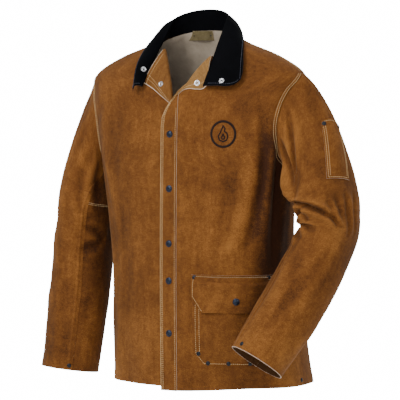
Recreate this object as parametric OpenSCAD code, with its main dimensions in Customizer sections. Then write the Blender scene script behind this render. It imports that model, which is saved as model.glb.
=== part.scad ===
// Leather welding jacket, snap front, with turned-down collar, patch pocket and two-piece sleeves.
// Millimetres. +Z up, front faces -Y, the wearer's left is +X. The origin is the centre of the
// neck opening, level with the seam that joins the collar to the shoulders.

/* [Body] */
// z of the hem
hem_z = -737; // [-800:1:-680]
// half width of the body at the hem
hem_half = 226; // [200:1:260]
// half width at the waist
waist_half = 214; // [190:1:250]
// half width just below the arm
chest_half = 232; // [205:1:265]
// half width at the shoulder tips
shoulder_half = 257; // [230:1:290]
// y of the front at the chest
front_y = -101; // [-120:1:-85]
// y of the back at the hem
hem_back_y = 246; // [150:1:260]
// z of the armpit
armpit_z = -262; // [-300:1:-230]
// z of the shoulder tip
tip_z = -62; // [-80:1:-45]
// how far the armhole seam cuts into the body, degrees
armhole_cut = 22; // [10:1:30]
// leather thickness
hide = 1.6; // [1.2:0.1:2]

/* [Front] */
// z where the two fronts part for the collar
v_z = -128; // [-160:1:-100]
// z of the front corners of the neck
corner_z = -88; // [-110:1:-70]
// how far the right front runs under the left
underlap = 16; // [12:1:26]
// width of the placket band
band_w = 40; // [34:1:46]
// x of the line where the left edge folds open
fold_x = 27; // [24:1:40]
// how far the left edge stands off the right front
lap_gap = 6; // [6:0.2:8]
// extra length of the left edge at the hem
edge_drop = 8; // [0:1:12]

/* [Pocket] */
// x of the pocket's inner side
pocket_x0 = 55; // [48:1:70]
// x of the pocket's outer side
pocket_x1 = 203; // [170:1:206]
// z of the pocket mouth
pocket_top = -497; // [-520:1:-480]
// z of the pocket's bottom
pocket_bottom = -687; // [-700:1:-660]
// size of the cut corners
pocket_cut = 25; // [10:1:30]
// how far the bag stands off the front
pocket_bulge = 10; // [8:1:14]
// depth of the flap
flap_depth = 80; // [60:1:90]

/* [Sleeves] */
// position of the elbow along the left sleeve, as a fraction
left_elbow = 0.46; // [0.4:0.01:0.55]
// position of the elbow along the right sleeve, as a fraction
right_elbow = 0.5; // [0.4:0.01:0.55]
// half width of the sleeves at the cuff
cuff_half = 61; // [50:1:70]
// how far the left sleeve head stands proud
left_head = 25; // [0:1:30]
// how far the right sleeve head stands proud
right_head = 9; // [0:1:15]
// length of the pencil pocket
pencil_len = 116; // [90:1:130]

/* [Fastenings] */
// radius of a snap cap
cap_r = 7.5; // [6:0.5:9]
// radius of a snap stud's head
stud_r = 2; // [1.8:0.1:2.4]
// radial clearance between stud and socket
snap_gap = 0.4; // [0.3:0.05:0.6]
// radius of a rivet head
rivet_r = 4; // [3:0.5:5]

/* [Hidden] */
$fn = 24;

suede = [0.62, 0.40, 0.20];
pigskin = [0.07, 0.07, 0.10];
cloth = [0.52, 0.47, 0.41];
black = [0.06, 0.06, 0.07];
steel = [0.72, 0.73, 0.75];
gun = [0.30, 0.33, 0.38];

// z, half width, front y, back y, squareness
BODY = [
  [hem_z, hem_half, front_y + 1, hem_back_y, 2.25],
  [-620, 220, front_y - 1, 205, 2.3],
  [-450, waist_half, front_y - 2, 165, 2.4],
  [-235, chest_half, front_y + 1, 105, 2.7],
  [-130, 250, -96, 96, 2.6],
  [-100, 255, -90, 94, 2.4],
  [tip_z, shoulder_half, -70, 90, 2.2],
  [-25, 196, -46, 78, 2.15],
  [4, 116, -24, 70, 2.1],
  [18, 90, -12, 68, 2],
  [40, 76, -6, 64, 2]];
// fraction along, centre x, y, z, half width outward, half width to the front
ARM_L = [
  [0, 240, 0, -162, 60, 80], [0.2, 288, 4, -262, 60, 80], [0.42, 328, 4, -362, 61, 76],
  [0.52, 330, -6, -412, 63, 72], [0.75, 291.5, -72, -540, 70, 66], [1, 237, -142, -668, cuff_half, 60]];
ARM_R = [
  [0, -240, 0, -162, 60, 80], [0.2, -270, 2, -262, 58, 80], [0.5, -293, -2, -420, 62, 76],
  [0.75, -303.5, -12, -560, 66.5, 71], [1, -317, -28, -722, cuff_half + 3, 66]];

function seg(t, x, i = 0) = i >= len(t) - 2 || x < t[i + 1][0] ? i : seg(t, x, i + 1);
function slope(t, k, c) = let (a = max(k - 1, 0), b = min(k + 1, len(t) - 1))
  (t[b][c] - t[a][c]) / (t[b][0] - t[a][0]);
function herm(t, x, c) = x <= t[0][0] ? t[0][c] : x >= t[len(t) - 1][0] ? t[len(t) - 1][c] :
  let (i = seg(t, x), h = t[i + 1][0] - t[i][0], q = (x - t[i][0]) / h)
  (2*q*q*q - 3*q*q + 1) * t[i][c] + (q*q*q - 2*q*q + q) * h * slope(t, i, c)
  + (3*q*q - 2*q*q*q) * t[i + 1][c] + (q*q*q - q*q) * h * slope(t, i + 1, c);
function mix(a, b, t) = a + (b - a) * t;
function clamp(t) = min(max(t, 0), 1);
function ease(t) = let (q = clamp(t)) q * q * (3 - 2 * q);
function unit(v) = v / norm(v);
function spow(s, e) = sign(s) * pow(abs(s), e);

// a point of the body: ph 0 is the centre front, 90 the wearer's left, 180 the back
function body(ph, z) = let (a = herm(BODY, z, 1), f = herm(BODY, z, 2), b = herm(BODY, z, 3),
    e = 2 / herm(BODY, z, 4))
  [a * spow(sin(ph), e), (f + b) / 2 - (b - f) / 2 * spow(cos(ph), e), z];
function ph_x(x, z) = let (a = herm(BODY, z, 1), e = herm(BODY, z, 4) / 2)
  asin(min(1, pow(abs(x / a), e))) * sign(x);
function cut(z) = z <= armpit_z || z >= tip_z ? 0 :
  armhole_cut * pow(sin(180 * (z - armpit_z) / (tip_z - armpit_z)), 0.6);
// the left front stands off by the lap and comes down to the body beside it
function lift(x) = lap_gap * (1 - ease((x - fold_x) / 50));
function left(ph, z) = let (p = body(ph, z)) p - [0, lift(p[0]), 0];
// x of the front neck edge above the V, the same for both sides
function neck_x(z) = z < corner_z ? 78 * clamp((z - v_z) / (corner_z - v_z)) :
  mix(78, 85, (z - corner_z) / (18 - corner_z));
function right_edge(z) = z < v_z ? -neck_x(z) + underlap * clamp((v_z - z) / 10) : -neck_x(z);
function left_edge(z) = max(fold_x + 0.6, neck_x(z));
// rows of a long panel: hem to armpit, armpit to shoulder tip, tip to neck
function row_z(v, top) = v < 0.45 ? mix(hem_z, armpit_z, v / 0.45) :
  v < 0.8 ? mix(armpit_z, tip_z, (v - 0.45) / 0.35) : mix(tip_z, top, (v - 0.8) / 0.2);

function f_back(u, v) = let (q = 180 * u, top = 17.5 + 18 * sin(q), z = row_z(v, top))
  body(mix(90.3 + cut(z), 269.7 - cut(z), u), z);
// rows of the fronts, closer together round the V, shared by the facings under them
ROWS = [hem_z, -690, -640, -580, -520, -450, -380, -310, armpit_z, -220, -180, v_z - 18, v_z, -118, -108, -98,
  corner_z, -75, tip_z, -40, -20, 0, 15];
LAST = len(ROWS) - 1;
function row_of(k) = let (i = min(max(floor(k), 0), LAST - 1)) mix(ROWS[i], ROWS[i + 1], k - i);
function f_right(u, v) = let (z = row_of(v * LAST))
  body(mix(-89.7 + cut(z), ph_x(right_edge(z), z), u), z);
function f_left(u, v) = let (z = row_of(v * LAST))
  left(mix(ph_x(left_edge(z), z), 89.7 - cut(z), u), z);
function f_edge(u, v) = let (z = mix(hem_z - edge_drop, v_z - 4, v))
  body(ph_x(mix(-band_w / 2 - 2, fold_x - 0.6, u), z), z) - [0, lap_gap, 0];
function f_band(u, v) = let (z = mix(hem_z - edge_drop + 0.5, v_z - 5, v))
  body(ph_x(mix(-band_w / 2 - 2, band_w / 2 - 2, u), z), z) - [0, lap_gap, 0];
function f_yoke(u, v) = f_back(u, mix(0.4, 1, v));
// facings; above the V they roll out past the neck edge into small lapels
LAP_R = [[-126, 1.8], [-116, 18], [-100, 40], [-72, 50], [-50, 20], [-39, 1.8], [10, 1.8]];
LAP_L = [[-124, 1.8], [-108, 22], [-88, 32], [-70, 16], [-60, 1.8], [10, 1.8]];
function push(e, q) = e > 1 ? 9 * ease(e / 30) * ease((q - 0.08) / 0.92) : 0;
function f_rface(u, v) = let (z = row_of(v * (LAST - 2)),
    x = right_edge(z), e = herm(LAP_R, z, 1) - 1, w = u < 0.4 ? 0 : (u - 0.4) / 0.6,
    xx = u < 0.4 ? x - 1.4 - 45 * (1 - u / 0.4) : x - 1.4 + max(e, 0.8) * w)
  body(ph_x(xx, z), z) - [0, push(e, w), 0];
function f_lface(u, v) = let (z = row_of(mix(12, LAST - 2, v)), x = left_edge(z) + 1.4, e = herm(LAP_L, z, 1) - 1,
    w = u > 0.6 ? 0 : (0.6 - u) / 0.6, xx = u > 0.6 ? x + 40 * (u - 0.6) / 0.4 : x - max(e, 0.8) * w)
  left(ph_x(xx, z), z) - [0, push(e, w), 0];

// the armhole seam: 0 top, 90 front, 180 armpit, 270 back
function hole(s, ps) = let (z = (armpit_z + tip_z) / 2 + (tip_z - armpit_z) / 2 * cos(ps),
    p = body(sin(ps) > 0 ? 90 - cut(z) : 90 + cut(z), z)) [s * p[0], p[1], p[2]];
function arm_t(s) = s > 0 ? ARM_L : ARM_R;
function axis_p(s, t) = [herm(arm_t(s), t, 1), herm(arm_t(s), t, 2), herm(arm_t(s), t, 3)];
function axis_d(s, t) = unit(axis_p(s, min(t + 0.01, 1)) - axis_p(s, max(t - 0.01, 0)));
function axis_o(s, t) = let (d = axis_d(s, t)) unit([s, 0, 0] - d * (s * d[0]));
function axis_f(s, t) = let (c = cross(axis_d(s, t), axis_o(s, t))) c[1] > 0 ? -c : c;
function head(s, ps, t) = (s > 0 ? left_head : right_head) * sin(180 * pow(clamp(t / 0.44), 0.7)) * max(cos(ps + 25 * s), 0);
function sleeve(s, ps, t) = let (w = ease(t / 0.4), a = hole(s, ps) + axis_p(s, t) - axis_p(s, 0),
    b = axis_p(s, t) + axis_o(s, t) * herm(arm_t(s), t, 4) * cos(ps)
      + axis_f(s, t) * herm(arm_t(s), t, 5) * sin(ps)) mix(a, b, w) + axis_o(s, t) * head(s, ps, t);
function seam_ps(t) = mix(165, 128, ease(t / 0.4));
T0 = 0.014;
function f_top(s, t0, t1) = function (u, v)
  let (t = mix(t0, t1, v)) sleeve(s, mix(-124.6, seam_ps(t) - 0.4, u), t);
function f_under(s, t0, t1) = function (u, v)
  let (t = mix(t0, t1, v)) sleeve(s, mix(seam_ps(t) + 0.4, 234.6, u), t);

// collar: neck seam, roll line and outer edge, q -1 right front corner, 0 back, 1 left front corner
function neck_q(q) = let (k = abs(q), s = sign(q) == 0 ? 1 : sign(q)) k < 0.5 ?
  let (p = body(180 - 180 * k, 18 + 18 * cos(180 * k))) [s * p[0], p[1], p[2]] :
  let (z = mix(18, corner_z, (k - 0.5) / 0.5), p = body(min(ph_x(neck_x(z), z), 90), z)) [s * p[0], p[1], p[2]];
roll_shift = -7;
ROLL_A = [70, 24, 54];
ROLL_F = [80, -100, -89];
function roll_q(q) = let (k = abs(q), s = sign(q)) k < 0.4 ?
  [s * 70 * sin(90 * k / 0.4) + roll_shift, 24 + 40 * cos(90 * k / 0.4), 54 + 24 * cos(90 * k / 0.4)] :
  let (t = (k - 0.4) / 0.6, p = mix(ROLL_A, ROLL_F, t)) [s * p[0] + roll_shift * (1 - t), p[1], p[2]];
EDGE = [
  [-1, -98, -102, -98], [-0.7, -108, -67, -37], [-0.4, -114, 20, 18], [-0.2, -81, 72, 17],
  [0, -7, 90, 13], [0.2, 66, 73, 15], [0.4, 111, 14, 12], [0.7, 152, -56, -38], [1, 167, -86, -99]];
function edge_q(q) = [herm(EDGE, q, 1), herm(EDGE, q, 2), herm(EDGE, q, 3)];
function fall(q0, q1) = function (u, v) let (q = mix(q0, q1, u), a = roll_q(q), b = edge_q(q),
    o = unit(cross(b - a, roll_q(q + 0.01) - roll_q(q - 0.01)))) mix(b, a, mix(0, 0.95, v))
    - o * 7 * sin(180 * v);
function f_stand(u, v) = let (q = mix(-0.74, 0.74, u)) mix(neck_q(q), roll_q(q), mix(0.1, 0.9, v));

// pocket on the left front; rows run from the bottom up
function bag_z(v) = v < 0.15 ? mix(pocket_bottom, pocket_bottom + pocket_cut, v / 0.15) :
  mix(pocket_bottom + pocket_cut, pocket_top, (v - 0.15) / 0.85);
function bag_in(z, low, c) = max(0, low + c - z);
function on_left(x0, x1, u, z, out) = let (a = ph_x(x0, z), b = ph_x(x1, z), ph = mix(a, b, u),
    n = unit(cross(left(ph + 0.5, z) - left(ph - 0.5, z), [0, 0, 1]))) left(ph, z) + n * out;
function puff(u, w) = pocket_bulge * pow(sin(180 * clamp(u)), 0.7) * ease(w);
function f_bag(u, v) = let (z = bag_z(v), c = bag_in(z, pocket_bottom, pocket_cut))
  on_left(pocket_x0 + c, pocket_x1 - c, u, z, puff(u, (z - pocket_bottom) / 70));
function flap_z(v) = v < 0.4 ? mix(pocket_top + 4 - flap_depth, pocket_top + 40 - flap_depth, v / 0.4) :
  mix(pocket_top + 40 - flap_depth, pocket_top + 4, (v - 0.4) / 0.6);
function f_flap(u, v) = let (z = flap_z(v), c = 0.75 * bag_in(z, pocket_top + 4 - flap_depth, 36),
    a = ph_x(pocket_x0, z), b = ph_x(pocket_x1, z),
    ph = mix(ph_x(pocket_x0 - 2 + c, z), ph_x(pocket_x1 + 2 - c, z), u))
  on_left(pocket_x0 - 2 + c, pocket_x1 + 2 - c, u, z, pocket_bulge * pow(sin(180 * clamp((ph - a) / (b - a))), 0.5) + 3);

// a closed piece of hide between two offsets of a patch; s -1 for a patch whose normal points in
module piece(f, nu, nv, lo, hi, s = 1) {
  e = 0.003;
  w = nu + 1;
  grid = [for (j = [0:nv]) for (i = [0:nu]) [i / nu, j / nv]];
  pts = [for (g = grid) f(g[0], g[1])];
  nrm = [for (g = grid) s * unit(cross(f(min(g[0] + e, 1), g[1]) - f(max(g[0] - e, 0), g[1]),
    f(g[0], min(g[1] + e, 1)) - f(g[0], max(g[1] - e, 0))))];
  n = len(pts);
  all_pts = concat([for (i = [0:n - 1]) pts[i] + nrm[i] * hi], [for (i = [0:n - 1]) pts[i] + nrm[i] * lo]);
  faces = concat(
    [for (j = [0:nv - 1]) for (i = [0:nu - 1]) let (a = j * w + i) each
      [[a, a + w, a + w + 1], [a, a + w + 1, a + 1], [n + a, n + a + 1, n + a + w + 1], [n + a, n + a + w + 1, n + a + w]]],
    [for (i = [0:nu - 1]) each [[i, i + 1, n + i + 1], [i, n + i + 1, n + i]]],
    [for (i = [0:nu - 1]) let (d = nv * w + i) each [[d + 1, d, n + d], [d + 1, n + d, n + d + 1]]],
    [for (j = [0:nv - 1]) let (a = j * w) each [[a + w, a, n + a], [a + w, n + a, n + a + w]]],
    [for (j = [0:nv - 1]) let (b = j * w + nu) each [[b, b + w, n + b + w], [b, n + b + w, n + b]]]);
  polyhedron(all_pts, s > 0 ? faces : [for (q = faces) [q[2], q[1], q[0]]]);
}
// stands the children on point p with their +Z along n
module at(p, n) {
  z = unit(n);
  x = unit(cross(abs(z[2]) < 0.9 ? [0, 0, 1] : [0, 1, 0], z));
  y = cross(z, x);
  multmatrix([[x[0], y[0], z[0], p[0]], [x[1], y[1], z[1], p[1]], [x[2], y[2], z[2], p[2]]]) children();
}
// domed head from z h up, shank from z s0 to the head
module rivet(h, s0, r = rivet_r) rotate_extrude()
  polygon([[0, s0], [1.2, s0], [1.2, h], [r, h], [r * 0.94, h + 0.7], [r * 0.6, h + 1.25], [0, h + 1.5]]);
module dome(h, s0, r) rotate_extrude()
  polygon([[0, s0], [1.3, s0], [1.3, h], [r, h], [r, h + 0.8], [r * 0.85, h + 1.6], [r * 0.5, h + 2.3], [0, h + 2.6]]);
module ring(h, r0, r1, t) rotate_extrude()
  polygon([[r0, h], [r1, h], [r1, h + t * 0.6], [r1 - 0.4, h + t], [r0, h + t]]);
module stud(h, top, s0) rotate_extrude()
  polygon([[0, s0], [5, s0], [5, s0 + 0.7], [1.2, s0 + 0.7], [1.2, h], [5.5, h], [5.5, h + 0.6],
    [stud_r, h + 0.8], [stud_r, top - 0.5], [stud_r - 0.5, top], [0, top]]);

SNAP_Z = [-193, -310, -428, -508, -621];
function front_p(z) = [0, herm(BODY, z, 2), z];
module fronts() for (z = SNAP_Z) at(front_p(z), [0, -1, 0]) children();
function nrm_body(ph, z) = unit(cross(body(ph + 0.5, z) - body(ph - 0.5, z), body(ph, z + 1) - body(ph, z - 1)));
function nrm_left(ph, z) = unit(cross(left(ph + 0.5, z) - left(ph - 0.5, z), left(ph, z + 1) - left(ph, z - 1)));
module on_pocket(x, z, off) { ph = ph_x(x, z); p = left(ph, z); n = nrm_left(ph, z); at(p + n * off, n) children(); }
FLAP_X = 147;
FLAP_Z = -548;
FLAP_N = nrm_left(ph_x(FLAP_X, FLAP_Z), FLAP_Z);
FLAP_P = left(ph_x(FLAP_X, FLAP_Z), FLAP_Z);
module on_flap() at(FLAP_P, FLAP_N) children();
function nrm_arm(s, ps, t) = s * unit(cross(sleeve(s, ps + 1, t) - sleeve(s, ps - 1, t),
  sleeve(s, ps, t + 0.004) - sleeve(s, ps, t - 0.004)));
module on_arm(s, ps, t) at(sleeve(s, ps, t), nrm_arm(s, ps, t)) children();
module on_fall(q0, q1, u, v) { f = fall(q0, q1); p = f(u, v);
  n = -unit(cross(f(u + 0.01, v) - f(u - 0.01, v), f(u, v + 0.01) - f(u, v - 0.01))); at(p, n) children(); }

module back_panel() color(suede) piece(function (u, v) f_back(u, v), 26, 20, 0, hide);
module right_front_panel() color(suede) piece(function (u, v) f_right(u, v), 16, LAST, 0, hide);
module left_front_panel() color(suede) piece(function (u, v) f_left(u, v), 16, LAST, 0, hide);
module yoke_lining() color(cloth) piece(function (u, v) f_yoke(u, v), 26, 12, -1.9, -0.9);
module collar_stand() color(pigskin) piece(function (u, v) f_stand(u, v), 30, 3, 0.8, 2.2);
module collar_back_fall() color(pigskin) piece(fall(-0.35, 0.35), 12, 4, -0.2, 1.6, -1);
module right_front_facing() color(suede) piece(function (u, v) f_rface(u, v), 10, LAST - 2, -2.2, -0.6);
module left_lapel_facing() color(suede) piece(function (u, v) f_lface(u, v), 9, LAST - 14, -2.2, -0.6);
function nrm_of(f, u, v) = unit(cross(f(u + 0.01, v) - f(u - 0.01, v), f(u, v + 0.01) - f(u, v - 0.01)));
module lapel_snaps() color(steel) {
  r = function (u, v) f_rface(u, v);
  l = function (u, v) f_lface(u, v);
  at(r(0.87, 0.892), nrm_of(r, 0.87, 0.892)) { ring(-0.45, 2.4, 6, 1.2); rotate_extrude() polygon([[0, -2.4], [1.4, -2.4], [1.4, 1], [0, 1]]); }
  at(l(0.32, 0.36), nrm_of(l, 0.32, 0.36)) { ring(-0.45, 2.4, 6, 1.2); rotate_extrude() polygon([[0, -2.4], [1.4, -2.4], [1.4, 1], [0, 1]]); }
}
function f_loop(u, v) = let (ph = mix(LOOP + 20, LOOP - 20, u), z = mix(12, 31, v), p = body(ph, z),
  n = unit([p[0], p[1] - 20, 0])) p - n * (3.4 + 7 * ease(min(u, 1 - u) / 0.4));
LOOP = 196;
module hanger_loop() color(suede) piece(function (u, v) f_loop(u, v), 10, 2, 0, 1.3);
module hanger_loop_rivets() color(black) for (d = [-15.5, 15.5]) { p = body(LOOP + d, 21.5);
  n = unit([p[0], p[1] - 20, 0]); at(p, -n) rivet(6.5, -1.4, 3); }
module pocket_bag() color(suede) piece(function (u, v) f_bag(u, v), 16, 12, 2.3, 3.9);
module pocket_rivets() color(black) {
  on_pocket(pocket_x0 + 7, pocket_bottom + 30, 0) rivet(5, 0.2);
  on_pocket(pocket_x0 + 27, pocket_bottom + 7, 0) rivet(4.6, 0.2);
  on_pocket(pocket_x0 + 72, pocket_bottom + 7, 0) rivet(4.8, 0.2);
  on_pocket(pocket_x1 - 34, pocket_bottom + 7, 0) rivet(4.6, 0.2);
  on_pocket(pocket_x1 - 7, pocket_bottom + 30, 0) rivet(5, 0.2);
}
module pocket_snap_stud() color(gun) on_flap() stud(13.7, 16.2, 10.6);
module front_snap_studs() color(gun) fronts() stud(1.8, 4.1, -3.1);
module hem_rivets() color(black) for (s = [-1, 1]) { p = body(90, hem_z + 12); n = nrm_body(90, hem_z + 12);
  at([s * (p[0] + 1.8 * n[0]), p[1] + 4, p[2]], [s * n[0], n[1], n[2]]) rivet(0.2, -1.7); }

module left_front_edge() color(suede) piece(function (u, v) f_edge(u, v), 6, 16, 0, hide);
module placket_band() color(suede) piece(function (u, v) f_band(u, v), 4, 16, 1.8, 3.3);
module placket_facing() color(suede) piece(function (u, v) f_edge(u, v), 6, 16, -1.6, -0.2);
module front_snap_caps() color(gun) fronts() dome(lap_gap + 3.5, 4.6, cap_r);
module front_snap_sockets() color(steel) fronts() ring(2.8, stud_r + snap_gap, 5.8, 1.5);

module pocket_flap() color(suede) piece(function (u, v) f_flap(u, v), 16, 7, 4.2, 5.8);
module flap_snap_cap() color(gun) on_flap() dome(18.8, 16.95, cap_r);
module flap_snap_socket() color(steel) on_flap() ring(14.95, stud_r + snap_gap, 5.6, 1.8);

module left_collar_fall() color(pigskin) piece(fall(0.37, 1), 10, 5, 0.2, 1.6, -1);
module left_under_collar() color(pigskin) piece(fall(0.37, 1), 10, 5, -1.3, -0.1, -1);
module left_collar_snap() color(steel) on_fall(0.37, 1, 0.92, 0.55) { ring(1.7, 2.3, 6.2, 1.3); rotate_extrude() polygon([[0, -1.6], [1.5, -1.6], [1.5, 2.4], [0, 2.4]]); }
module right_collar_fall() color(pigskin) piece(fall(-1, -0.37), 10, 5, 0.2, 1.6, -1);
module right_under_collar() color(pigskin) piece(fall(-1, -0.37), 10, 5, -1.3, -0.1, -1);
module right_collar_snap() color(steel) on_fall(-1, -0.37, 0.25, 0.8) { ring(1.7, 2.3, 6.2, 1.3); rotate_extrude() polygon([[0, -1.6], [1.5, -1.6], [1.5, 2.4], [0, 2.4]]); }

module left_upper_top() color(suede) piece(f_top(1, T0, left_elbow - 0.001), 18, 9, -hide, 0);
module left_upper_under() color(suede) piece(f_under(1, T0, left_elbow - 0.001), 8, 9, -hide, 0);
module right_upper_top() color(suede) piece(f_top(-1, T0, right_elbow - 0.001), 18, 9, -hide, 0, -1);
module right_upper_under() color(suede) piece(f_under(-1, T0, right_elbow - 0.001), 8, 9, -hide, 0, -1);
module left_forearm_top() color(suede) piece(f_top(1, left_elbow + 0.002, 1), 18, 9, -hide, 0);
module left_forearm_under() color(suede) piece(f_under(1, left_elbow + 0.002, 1), 8, 9, -hide, 0);
module right_forearm_top() color(suede) piece(f_top(-1, right_elbow + 0.002, 1), 18, 8, -hide, 0, -1);
module right_forearm_under() color(suede) piece(f_under(-1, right_elbow + 0.002, 1), 8, 8, -hide, 0, -1);
PEN_T = 0.165;
function pen_ps(v) = mix(0, 19, v);
function f_pencil(u, v) = let (ps = pen_ps(v) + mix(-24, 24, u) * mix(1, 0.88, v), t = mix(PEN_T, PEN_T + pencil_len / 740, v))
  sleeve(1, ps, t) + nrm_arm(1, ps, t) * 6 * sin(180 * clamp(u)) * ease((1 - v) / 0.3);
module pencil_pocket() color(suede) piece(function (u, v) f_pencil(u, v), 8, 6, 0.7, 2.2);
module pencil_pocket_rivets() color(black)
  for (d = [-20, 20]) on_arm(1, pen_ps(0.08) + d, PEN_T + 0.012) rivet(4.2, -1.4, 3);
module left_cuff_rivet() color(black) on_arm(1, 112, 0.975) rivet(0.4, -2.1);
module right_cuff_rivet() color(black) on_arm(-1, 132, 0.985) rivet(0.4, -2.1);

back_panel();
right_front_panel();
left_front_panel();
yoke_lining();
collar_stand();
collar_back_fall();
right_front_facing();
left_lapel_facing();
lapel_snaps();
hanger_loop();
hanger_loop_rivets();
pocket_bag();
pocket_rivets();
pocket_snap_stud();
front_snap_studs();
hem_rivets();
left_front_edge();
placket_band();
placket_facing();
front_snap_caps();
front_snap_sockets();
pocket_flap();
flap_snap_cap();
flap_snap_socket();
left_collar_fall();
left_under_collar();
left_collar_snap();
right_collar_fall();
right_under_collar();
right_collar_snap();
left_upper_top();
left_upper_under();
pencil_pocket();
pencil_pocket_rivets();
right_upper_top();
right_upper_under();
left_forearm_top();
left_forearm_under();
left_cuff_rivet();
right_forearm_top();
right_forearm_under();
right_cuff_rivet();
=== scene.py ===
import math
import bpy
import bmesh
import numpy as np
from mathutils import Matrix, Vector


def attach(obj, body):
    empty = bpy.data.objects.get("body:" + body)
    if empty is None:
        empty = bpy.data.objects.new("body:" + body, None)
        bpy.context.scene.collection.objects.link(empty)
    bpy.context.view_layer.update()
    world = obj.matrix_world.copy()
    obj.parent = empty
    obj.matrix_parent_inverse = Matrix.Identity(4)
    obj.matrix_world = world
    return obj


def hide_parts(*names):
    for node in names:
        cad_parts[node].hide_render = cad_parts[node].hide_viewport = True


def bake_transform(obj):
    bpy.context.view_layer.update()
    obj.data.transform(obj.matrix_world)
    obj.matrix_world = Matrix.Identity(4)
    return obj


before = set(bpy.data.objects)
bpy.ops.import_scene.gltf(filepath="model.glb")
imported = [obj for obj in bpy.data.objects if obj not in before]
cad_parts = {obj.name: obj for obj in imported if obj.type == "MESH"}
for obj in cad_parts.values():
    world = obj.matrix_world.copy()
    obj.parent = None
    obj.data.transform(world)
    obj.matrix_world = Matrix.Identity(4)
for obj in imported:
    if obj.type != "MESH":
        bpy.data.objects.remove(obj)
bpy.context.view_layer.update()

# ---------------------------------------------------------------- shared shape (millimetres, as in the CAD)
HEM, ARMPIT, TIP, V_Z, CORNER = -737.0, -262.0, -62.0, -128.0, -88.0
ARM_CUT, LAP, FOLD_X, DROP = 22.0, 6.0, 27.0, 8.0
PX0, PX1, PTOP, PBOT, PCUT, PBULGE, FLAP = 55.0, 203.0, -497.0, -687.0, 25.0, 10.0, 80.0
ELBOW = {1: 0.46, -1: 0.5}
BODY = np.array([
    [HEM, 226, -100, 246, 2.25], [-620, 220, -102, 205, 2.3], [-450, 214, -103, 165, 2.4],
    [-235, 232, -100, 105, 2.7], [-130, 250, -96, 96, 2.6], [-100, 255, -90, 94, 2.4],
    [TIP, 257, -70, 90, 2.2], [-25, 196, -46, 78, 2.15], [4, 116, -24, 70, 2.1],
    [18, 90, -12, 68, 2], [40, 76, -6, 64, 2]], float)
ARMS = {
    1: np.array([[0, 240, 0, -162, 60, 80], [.2, 288, 4, -262, 60, 80], [.42, 328, 4, -362, 61, 76],
                 [.52, 330, -6, -412, 63, 72], [.75, 291.5, -72, -540, 70, 66],
                 [1, 237, -142, -668, 61, 60]], float),
    -1: np.array([[0, -240, 0, -162, 60, 80], [.2, -270, 2, -262, 58, 80], [.5, -293, -2, -420, 62, 76],
                  [.75, -303.5, -12, -560, 66.5, 71], [1, -317, -28, -722, 64, 66]], float)}
ROLL_A, ROLL_F, ROLL_SHIFT = np.array([70., 24, 54]), np.array([80., -100, -89]), -7.0
HEAD = {1: 25.0, -1: 9.0}
EDGE = np.array([
    [-1, -98, -102, -98], [-.7, -108, -67, -37], [-.4, -114, 20, 18], [-.2, -81, 72, 17],
    [0, -7, 90, 13], [.2, 66, 73, 15], [.4, 111, 14, 12], [.7, 152, -56, -38], [1, 167, -86, -99]], float)
SNAP_Z = (-193., -310., -428., -508., -621.)


def A(x):
    return np.asarray(x, float)


def herm(tab, x, c):
    tab = A(tab)
    xs, ys = tab[:, 0], tab[:, c]
    n = len(xs)
    lo, hi = np.maximum(np.arange(n) - 1, 0), np.minimum(np.arange(n) + 1, n - 1)
    m = (ys[hi] - ys[lo]) / (xs[hi] - xs[lo])
    x = np.clip(A(x), xs[0], xs[-1])
    i = np.clip(np.searchsorted(xs, x, side="right") - 1, 0, n - 2)
    h = xs[i + 1] - xs[i]
    q = (x - xs[i]) / h
    return ((2*q**3 - 3*q*q + 1) * ys[i] + (q**3 - 2*q*q + q) * h * m[i]
            + (3*q*q - 2*q**3) * ys[i + 1] + (q**3 - q*q) * h * m[i + 1])


def ease(t):
    t = np.clip(A(t), 0, 1)
    return t * t * (3 - 2 * t)


def mix(a, b, t):
    return a + (b - a) * t


def sind(a):
    return np.sin(np.radians(a))


def cosd(a):
    return np.cos(np.radians(a))


def unit(v):
    return v / np.maximum(np.linalg.norm(v, axis=-1, keepdims=True), 1e-9)


def stack(x, y, z):
    x, y, z = np.broadcast_arrays(A(x), A(y), A(z))
    return np.stack([x, y, z], -1)


def spow(s, e):
    return np.sign(s) * np.abs(s) ** e


def body0(ph, z):
    a, f, b, e = herm(BODY, z, 1), herm(BODY, z, 2), herm(BODY, z, 3), 2 / herm(BODY, z, 4)
    return stack(a * spow(sind(ph), e), (f + b) / 2 - (b - f) / 2 * spow(cosd(ph), e), z)


def ph_x(x, z):
    a, e = herm(BODY, z, 1), herm(BODY, z, 4) / 2
    return np.degrees(np.arcsin(np.minimum(1, np.abs(x / a) ** e))) * np.sign(x)


def arm_cut(z):
    t = np.clip((A(z) - ARMPIT) / (TIP - ARMPIT), 0, 1)
    return ARM_CUT * np.maximum(np.sin(np.pi * t), 0) ** 0.6


def lift(x):
    return LAP * (1 - ease((x - FOLD_X) / 50))


# ---------------------------------------------------------------- noise, folds
def lattice(seed, n=64):
    return np.random.RandomState(seed).uniform(-1, 1, (n, n))


def noise(x, y, seed, wrap=None):
    g = lattice(seed)
    n = g.shape[0]
    x, y = A(x), A(y)
    xi, yi = np.floor(x), np.floor(y)
    fx, fy = x - xi, y - yi
    fx, fy = fx*fx*fx*(fx*(fx*6-15)+10), fy*fy*fy*(fy*(fy*6-15)+10)
    w = wrap or n
    x0, x1 = np.mod(xi, w).astype(int) % n, np.mod(xi + 1, w).astype(int) % n
    y0, y1 = np.mod(yi, n).astype(int), np.mod(yi + 1, n).astype(int)
    return mix(mix(g[y0, x0], g[y0, x1], fx), mix(g[y1, x0], g[y1, x1], fx), fy)


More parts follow.
